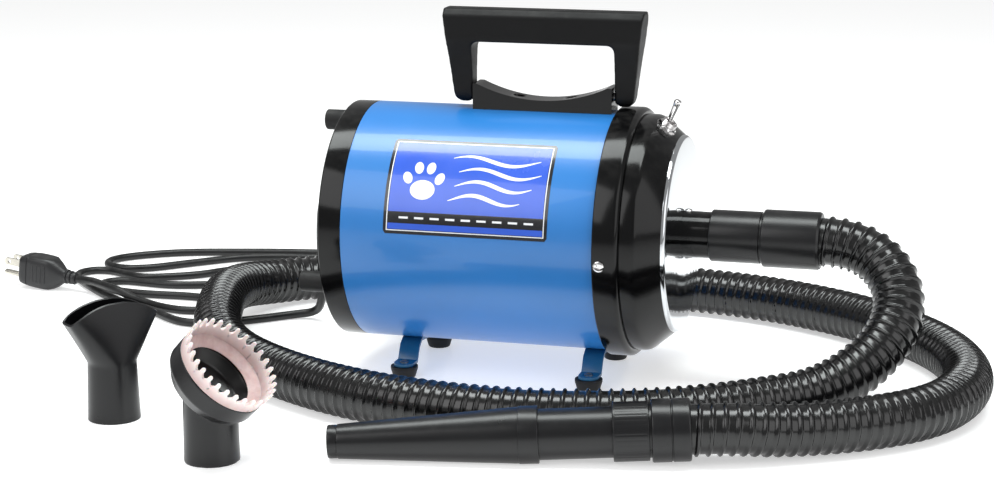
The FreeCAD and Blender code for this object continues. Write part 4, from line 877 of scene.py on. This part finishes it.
def build_switch():
    """The switch's washer, nut, threaded neck and bat lever; X runs along the switch's axis."""
    def toothed(x, radius, angle):
        return radius if radius < 8.0 else radius - 0.8 * max(0.0, math.cos(12.0 * angle)) ** 8

    lathe("switch_washer_ring", [(0.02, 6.0), (0.92, 6.0), (0.92, 8.2), (0.02, 8.2)],
          "chrome_metal", ["switch_washer"], place=ON_SWITCH, segments=288, shape=toothed)

    def hexagonal(x, radius, angle):
        if radius < 6.5:
            return radius
        flat = (angle + TAU / 12.0) % (TAU / 6.0) - TAU / 12.0
        corner = 7.6 * math.cos(TAU / 12.0) / math.cos(flat)
        return min(corner, radius)

    lathe("switch_nut_ring", [(0.95, 5.95), (0.95, 7.6), (2.9, 7.6), (3.55, 6.75), (3.55, 5.95)],
          "chrome_metal", ["switch_nut"], place=ON_SWITCH, segments=144,
          shape=hexagonal)
    thread = [(-7.95, 4.2), (-7.95, 5.9)]
    turns = 17
    for number in range(turns):
        start = -7.5 + number * 0.82
        thread += [(start, 5.9), (start + 0.4, 5.5)]
    thread += [(6.4, 5.85), (6.75, 5.5), (6.75, 4.4), (6.3, 4.2)]
    lathe("switch_neck", thread, "chrome_metal", ["switch_bushing"], place=ON_SWITCH)
    lever_place = ON_SWITCH @ shifted(1.5, 0, 0) @ turned(-LEVER_REST, "Y")
    grid = bmesh.new()
    turned_mesh(grid, [(-3.2, 0), (-3.2, 1.4, 0.4), (0, 1.6, 2.0), (17.6, 2.45, 6.0),
                       (20.6, 2.95, 1.6), (22.4, 2.4, 1.2), (22.5, 0)], segments=48, closed=False)
    turned_mesh(grid, [(-3.5, 0), (-3.5, 1.9, 0.3), (3.5, 1.9, 0.3), (3.5, 0)], segments=32,
                closed=False, place=turned(90.0, "Z"))
    finish_piece("bat_lever", grid, "chrome_metal", "toggle", ["switch_lever"], lever_place)


# ------------------------------------------------------------------ gland and plug
def build_gland():
    outline = [(2.4, 0), (2.4, 5.3), (-0.1, 5.3), (-0.1, 7.0, 0.3), (-3.8, 7.0, 0.7), (-5.6, 6.2)]
    for number in range(7):
        start = -7.4 - number * 3.1
        radius = 6.0 - 0.22 * number
        outline += [(start, radius, 0.25), (start - 1.9, radius - 0.12, 0.25),
                    (start - 2.1, radius - 0.9), (start - 2.9, radius - 0.95)]
    outline += [(-29.6, 4.4, 0.3), (-30.0, 3.9), (-30.0, 0)]
    place = shifted(-111.6, 70.0, 122.5)
    lathe("strain_relief", outline, "black_rubber", ["cord_gland"], place=place,
          closed=False, segments=48)


PLUG_SECTIONS = [
    # distance, half thickness, half height, squareness
    (0.0, 4.0, 4.0, 2.0), (0.4, 4.5, 4.5, 2.0), (1.4, 5.6, 5.6, 2.0), (2.4, 5.6, 5.6, 2.0),
    (3.0, 4.6, 4.6, 2.0), (4.4, 4.7, 4.7, 2.0), (5.0, 5.9, 5.9, 2.0), (6.2, 5.9, 5.9, 2.0),
    (6.8, 4.9, 4.9, 2.0), (8.4, 5.1, 5.1, 2.0), (9.0, 6.3, 6.3, 2.0), (10.4, 6.4, 6.4, 2.0),
    (11.0, 5.6, 5.8, 2.1), (13.0, 6.2, 6.8, 2.2), (16.0, 7.8, 9.2, 2.4), (19.0, 9.2, 11.6, 2.6),
    (22.0, 10.3, 13.3, 2.8), (25.0, 11.1, 14.1, 4.2), (29.0, 11.6, 14.2, 4.8),
    (33.0, 11.7, 14.2, 5.0), (38.0, 11.7, 14.1, 5.2), (42.0, 11.7, 14.0, 5.2),
    (44.6, 11.6, 13.8, 5.2), (45.0, 11.0, 13.2, 5.2), (45.8, 11.0, 13.2, 5.2),
    (46.2, 11.6, 13.5, 5.2), (50.0, 11.4, 13.0, 5.2), (52.6, 11.0, 12.5, 5.0),
    (53.6, 10.4, 11.9, 4.8), (54.0, 9.6, 11.1, 4.6),
]


def build_plug():
    """A moulded plug on its edge: knobbed strain relief, shoulders, grip grooves, rim line."""
    sides = 64
    grid = bmesh.new()
    rows = []
    for distance, thick, tall, square in PLUG_SECTIONS:
        row = []
        for side in range(sides):
            angle = TAU * side / sides
            across, above = math.cos(angle), math.sin(angle)
            across = math.copysign(abs(across) ** (2.0 / square), across) * thick
            above = math.copysign(abs(above) ** (2.0 / square), above) * tall
            row.append(grid.verts.new((distance, across, above)))
        rows.append(row)
    add_strips(grid, rows)
    grid.faces.new(rows[0])
    grid.faces.new(rows[-1])
    for way in (-1.0, 1.0):
        for number in range(4):
            x = 27.0 + number * 4.0
            place = Matrix.Translation((x, way * 11.3, 0)) @ turned(90.0, "Y")
            turned_mesh(grid, [(-8.0, 0), (-8.0, 0.9, 0.5), (8.0, 0.9, 0.5), (8.0, 0)], segments=20,
                        closed=False, place=place)
    body = finish_piece("plug_moulding", grid, "plug_rubber", "drum", ["plug_body"],
                        ON_PLUG, sharp=50.0)
    grid = bmesh.new()
    for way in (-1.0, 1.0):
        add_blade(grid, 53.6, way * 6.35, 4.5, 17.2, 6.4, 1.5, 1.6)
    place = Matrix.Translation((53.6, 0, -7.4))
    turned_mesh(grid, [(0, 0), (0, 2.4), (19.6, 2.4, 1.6), (21.4, 0.9, 0.5), (21.4, 0)], segments=32,
                closed=False, place=place)
    prongs = finish_piece("plug_contacts", grid, "nickel_pins", "drum", ["plug_prongs"],
                          ON_PLUG)
    return [body, prongs]


def add_blade(grid, start, y, z, length, width, thick, hole):
    """A flat contact with a rounded end and a hole through it."""
    outer = [(0.0, -width / 2), (length - 1.6, -width / 2), (length - 0.4, -width / 2 + 0.9),
             (length, -width / 2 + 2.0), (length, width / 2 - 2.0), (length - 0.4, width / 2 - 0.9),
             (length - 1.6, width / 2), (0.0, width / 2)]
    inner = [(length - 4.6 + hole * math.cos(TAU * step / 24), hole * math.sin(TAU * step / 24))
             for step in range(24)]
    edges = []
    for loop in (outer, inner):
        verts = [grid.verts.new((start + along, y - thick / 2, z + above)) for along, above in loop]
        edges += [grid.edges.new((one, two)) for one, two in zip(verts, verts[1:] + verts[:1])]
    filled = bmesh.ops.triangle_fill(grid, edges=edges, use_beauty=True)
    faces = [item for item in filled["geom"] if isinstance(item, bmesh.types.BMFace)]
    pushed = bmesh.ops.extrude_face_region(grid, geom=faces)
    moved = [item for item in pushed["geom"] if isinstance(item, bmesh.types.BMVert)]
    bmesh.ops.translate(grid, vec=(0, thick, 0), verts=moved)


# ------------------------------------------------------------------ badge
BADGE_LEFT = -61.8
BADGE_RIGHT = 61.8
BADGE_LOW = 5.5
BADGE_HIGH = 53.3
DRUM_RADIUS = 90.0
PRINT_LIFT = 0.285
PER_DEGREE = math.radians(1.0) * DRUM_RADIUS


def badge_spot(x, degrees, lift):
    """A point on the badge: x along the drum, an angle above its front, a lift off the skin."""
    turn = math.radians(180.0 - degrees)
    radius = DRUM_RADIUS + lift
    return Vector((x, radius * math.cos(turn), AXIS_HEIGHT + radius * math.sin(turn)))


def add_patch(grid, left, right, low, high, lift, depth, corner=0.0):
    """A thin plate bent round the drum, with round corners in its outline."""
    columns = 60
    levels = 36
    rows = []
    for level in range(levels + 1):
        degrees = low + (high - low) * level / levels
        short = max(0.0, corner - min(degrees - low, high - degrees) * PER_DEGREE)
        inset = corner - math.sqrt(max(0.0, corner ** 2 - short ** 2))
        rows.append([(left + inset + (right - left - 2 * inset) * column / columns, degrees)
                     for column in range(columns + 1)])
    low_layer, high_layer = [[[grid.verts.new(badge_spot(x, degrees, height)) for x, degrees in row]
                              for row in rows] for height in (lift, lift + depth)]
    add_slab(grid, low_layer, high_layer)


def add_blob(grid, x, degrees, wide, tall, lift, lean=0.0):
    """A printed oval on the badge."""
    sides = 40
    centre = grid.verts.new(badge_spot(x, degrees, lift))
    rows = []
    for ring in (0.34, 0.67, 1.0):
        row = []
        for side in range(sides):
            angle = TAU * side / sides
            across = wide * ring * math.cos(angle)
            above = tall * ring * math.sin(angle)
            turn = math.radians(lean)
            row.append(grid.verts.new(badge_spot(
                x + across * math.cos(turn) - above * math.sin(turn),
                degrees + (across * math.sin(turn) + above * math.cos(turn)) / PER_DEGREE, lift)))
        rows.append(row)
    add_strips(grid, rows[::-1])
    for side in range(sides):
        grid.faces.new((centre, rows[0][side], rows[0][(side + 1) % sides]))


def add_stroke(grid, points, widths, lift):
    """A printed stroke along (x, degrees) points, as wide as each point's width."""
    pairs = []
    for index, (x, degrees) in enumerate(points):
        after = points[min(index + 1, len(points) - 1)]
        before = points[max(index - 1, 0)]
        run = Vector((after[0] - before[0], (after[1] - before[1]) * PER_DEGREE)).normalized()
        side = Vector((-run.y, run.x)) * (widths[index] / 2.0)
        pairs.append([grid.verts.new(badge_spot(x + way * side.x,
                                                degrees + way * side.y / PER_DEGREE, lift))
                      for way in (-1.0, 1.0)])
    for one, two in zip(pairs, pairs[1:]):
        grid.faces.new((one[0], two[0], two[1], one[1]))


def add_frame(grid, inset, width, lift):
    """A thin printed line round the badge, a set distance inside its edge."""
    rise = inset / PER_DEGREE
    thick = width / PER_DEGREE
    left, right = BADGE_LEFT + inset, BADGE_RIGHT - inset
    low, high = BADGE_LOW + rise, BADGE_HIGH - rise
    for degrees in (low + thick / 2, high - thick / 2):
        level = [(left + (right - left) * step / 20, degrees) for step in range(21)]
        add_stroke(grid, level, [width] * 21, lift)
    for x in (left + width / 2, right - width / 2):
        upright = [(x, low + (high - low) * step / 40) for step in range(41)]
        add_stroke(grid, upright, [width] * 41, lift)


def wave(left, right, degrees, swing, phase):
    steps = 48
    return [(left + (right - left) * step / steps,
             degrees + swing * math.sin(TAU * step / steps + phase)) for step in range(steps + 1)]


def build_badge():
    """A plate with a blue field, a paw and streaming air lines: generic print, no lettering."""
    grid = bmesh.new()
    add_patch(grid, BADGE_LEFT, BADGE_RIGHT, BADGE_LOW, BADGE_HIGH, 0.03, 0.2, corner=1.6)
    finish_piece("badge_plate", grid, "badge_black", "drum", ["shell_badge"], sharp=30.0)
    grid = bmesh.new()
    add_patch(grid, BADGE_LEFT + 3.4, BADGE_RIGHT - 3.4, BADGE_LOW + 2.2, BADGE_HIGH - 2.2,
              0.235, 0.02)
    finish_piece("badge_field", grid, "badge_blue", "drum", sharp=30.0)
    grid = bmesh.new()
    add_patch(grid, -58.4, 58.4, 10.5, 15.9, 0.262, 0.015)
    finish_piece("badge_base_bar", grid, "badge_black", "drum", sharp=30.0)
    grid = bmesh.new()
    add_frame(grid, 2.3, 0.7, 0.25)
    taper = [0.5 + 2.6 * math.sin(math.pi * step / 48) for step in range(49)]
    add_stroke(grid, wave(-14.0, 52.0, 42.5, 2.2, 0.4), taper, PRINT_LIFT)
    add_stroke(grid, wave(-8.0, 54.0, 36.0, 2.2, 0.1), taper, PRINT_LIFT)
    add_stroke(grid, wave(-10.0, 48.0, 29.5, 2.2, -0.2), taper, PRINT_LIFT)
    add_stroke(grid, wave(-14.0, 40.0, 23.0, 2.0, -0.5), taper, PRINT_LIFT)
    for number in range(9):
        dash = [(-50.0 + number * 11.8 + step * 0.7, 13.2) for step in range(11)]
        add_stroke(grid, dash, [1.5] * 11, PRINT_LIFT)
    add_blob(grid, -34.0, 26.6, 9.4, 7.4, PRINT_LIFT)
    toes = ((-12.2, 32.2, 24.0), (-4.6, 37.4, 8.0), (4.6, 37.4, -8.0), (12.2, 32.2, -24.0))
    for across, above, lean in toes:
        add_blob(grid, -34.0 + across, above, 3.4, 4.8, PRINT_LIFT, lean)
    finish_piece("badge_print", grid, "badge_white", "drum", tidy=False)


# ------------------------------------------------------------------ the rest
CARRIED_OVER = {
    "foam": ["intake_filter"],
    "aluminium_cast": ["fan_housing", "diffuser_plate", "impeller_first", "impeller_second",
                       "motor_bulkhead", "motor_frame", "motor_bracket"],
    "steel": ["armature_shaft", "armature_core", "motor_bearings", "field_core", "handle_pins"],
    "copper_wire": ["commutator", "field_coils"],
    "brass_pins": ["brush_holders"],
    "carbon": ["carbon_brushes"],
    "black_rubber": ["motor_mount_rings"],
    "cord_jacket": ["lead_wires"],
    "black_satin": ["switch_body"],
}


def paint_carried_over():
    for finish, names in CARRIED_OVER.items():
        for name in names:
            for socket in nodes[name].material_slots:
                socket.material = FINISHES[finish]


place_camera()
build_studio()
hose, hose_path = build_hose()
cord = build_cord()
build_drum()
build_hose_ends()
build_blower_nozzle()
build_flare_nozzle()
moulded("brush_nozzle", "nozzle_satin", "brush_tip", voxel=0.7, rounds=5)
build_brush_ring()
build_screws()
build_feet()
build_switch()
build_gland()
plug = build_plug()
build_badge()
moulded("handle_grip", "black_satin", "handle", voxel=0.9, rounds=14)
softened("handle_saddle", "black_gloss", width=0.8)
softened("leg_strap_front", "leg_paint", width=0.5)
softened("leg_strap_rear", "leg_paint", width=0.5)
softened("intake_grille", "black_satin", width=0.4, segments=2)
paint_carried_over()

[tuple(spot) for spot in hose_path]
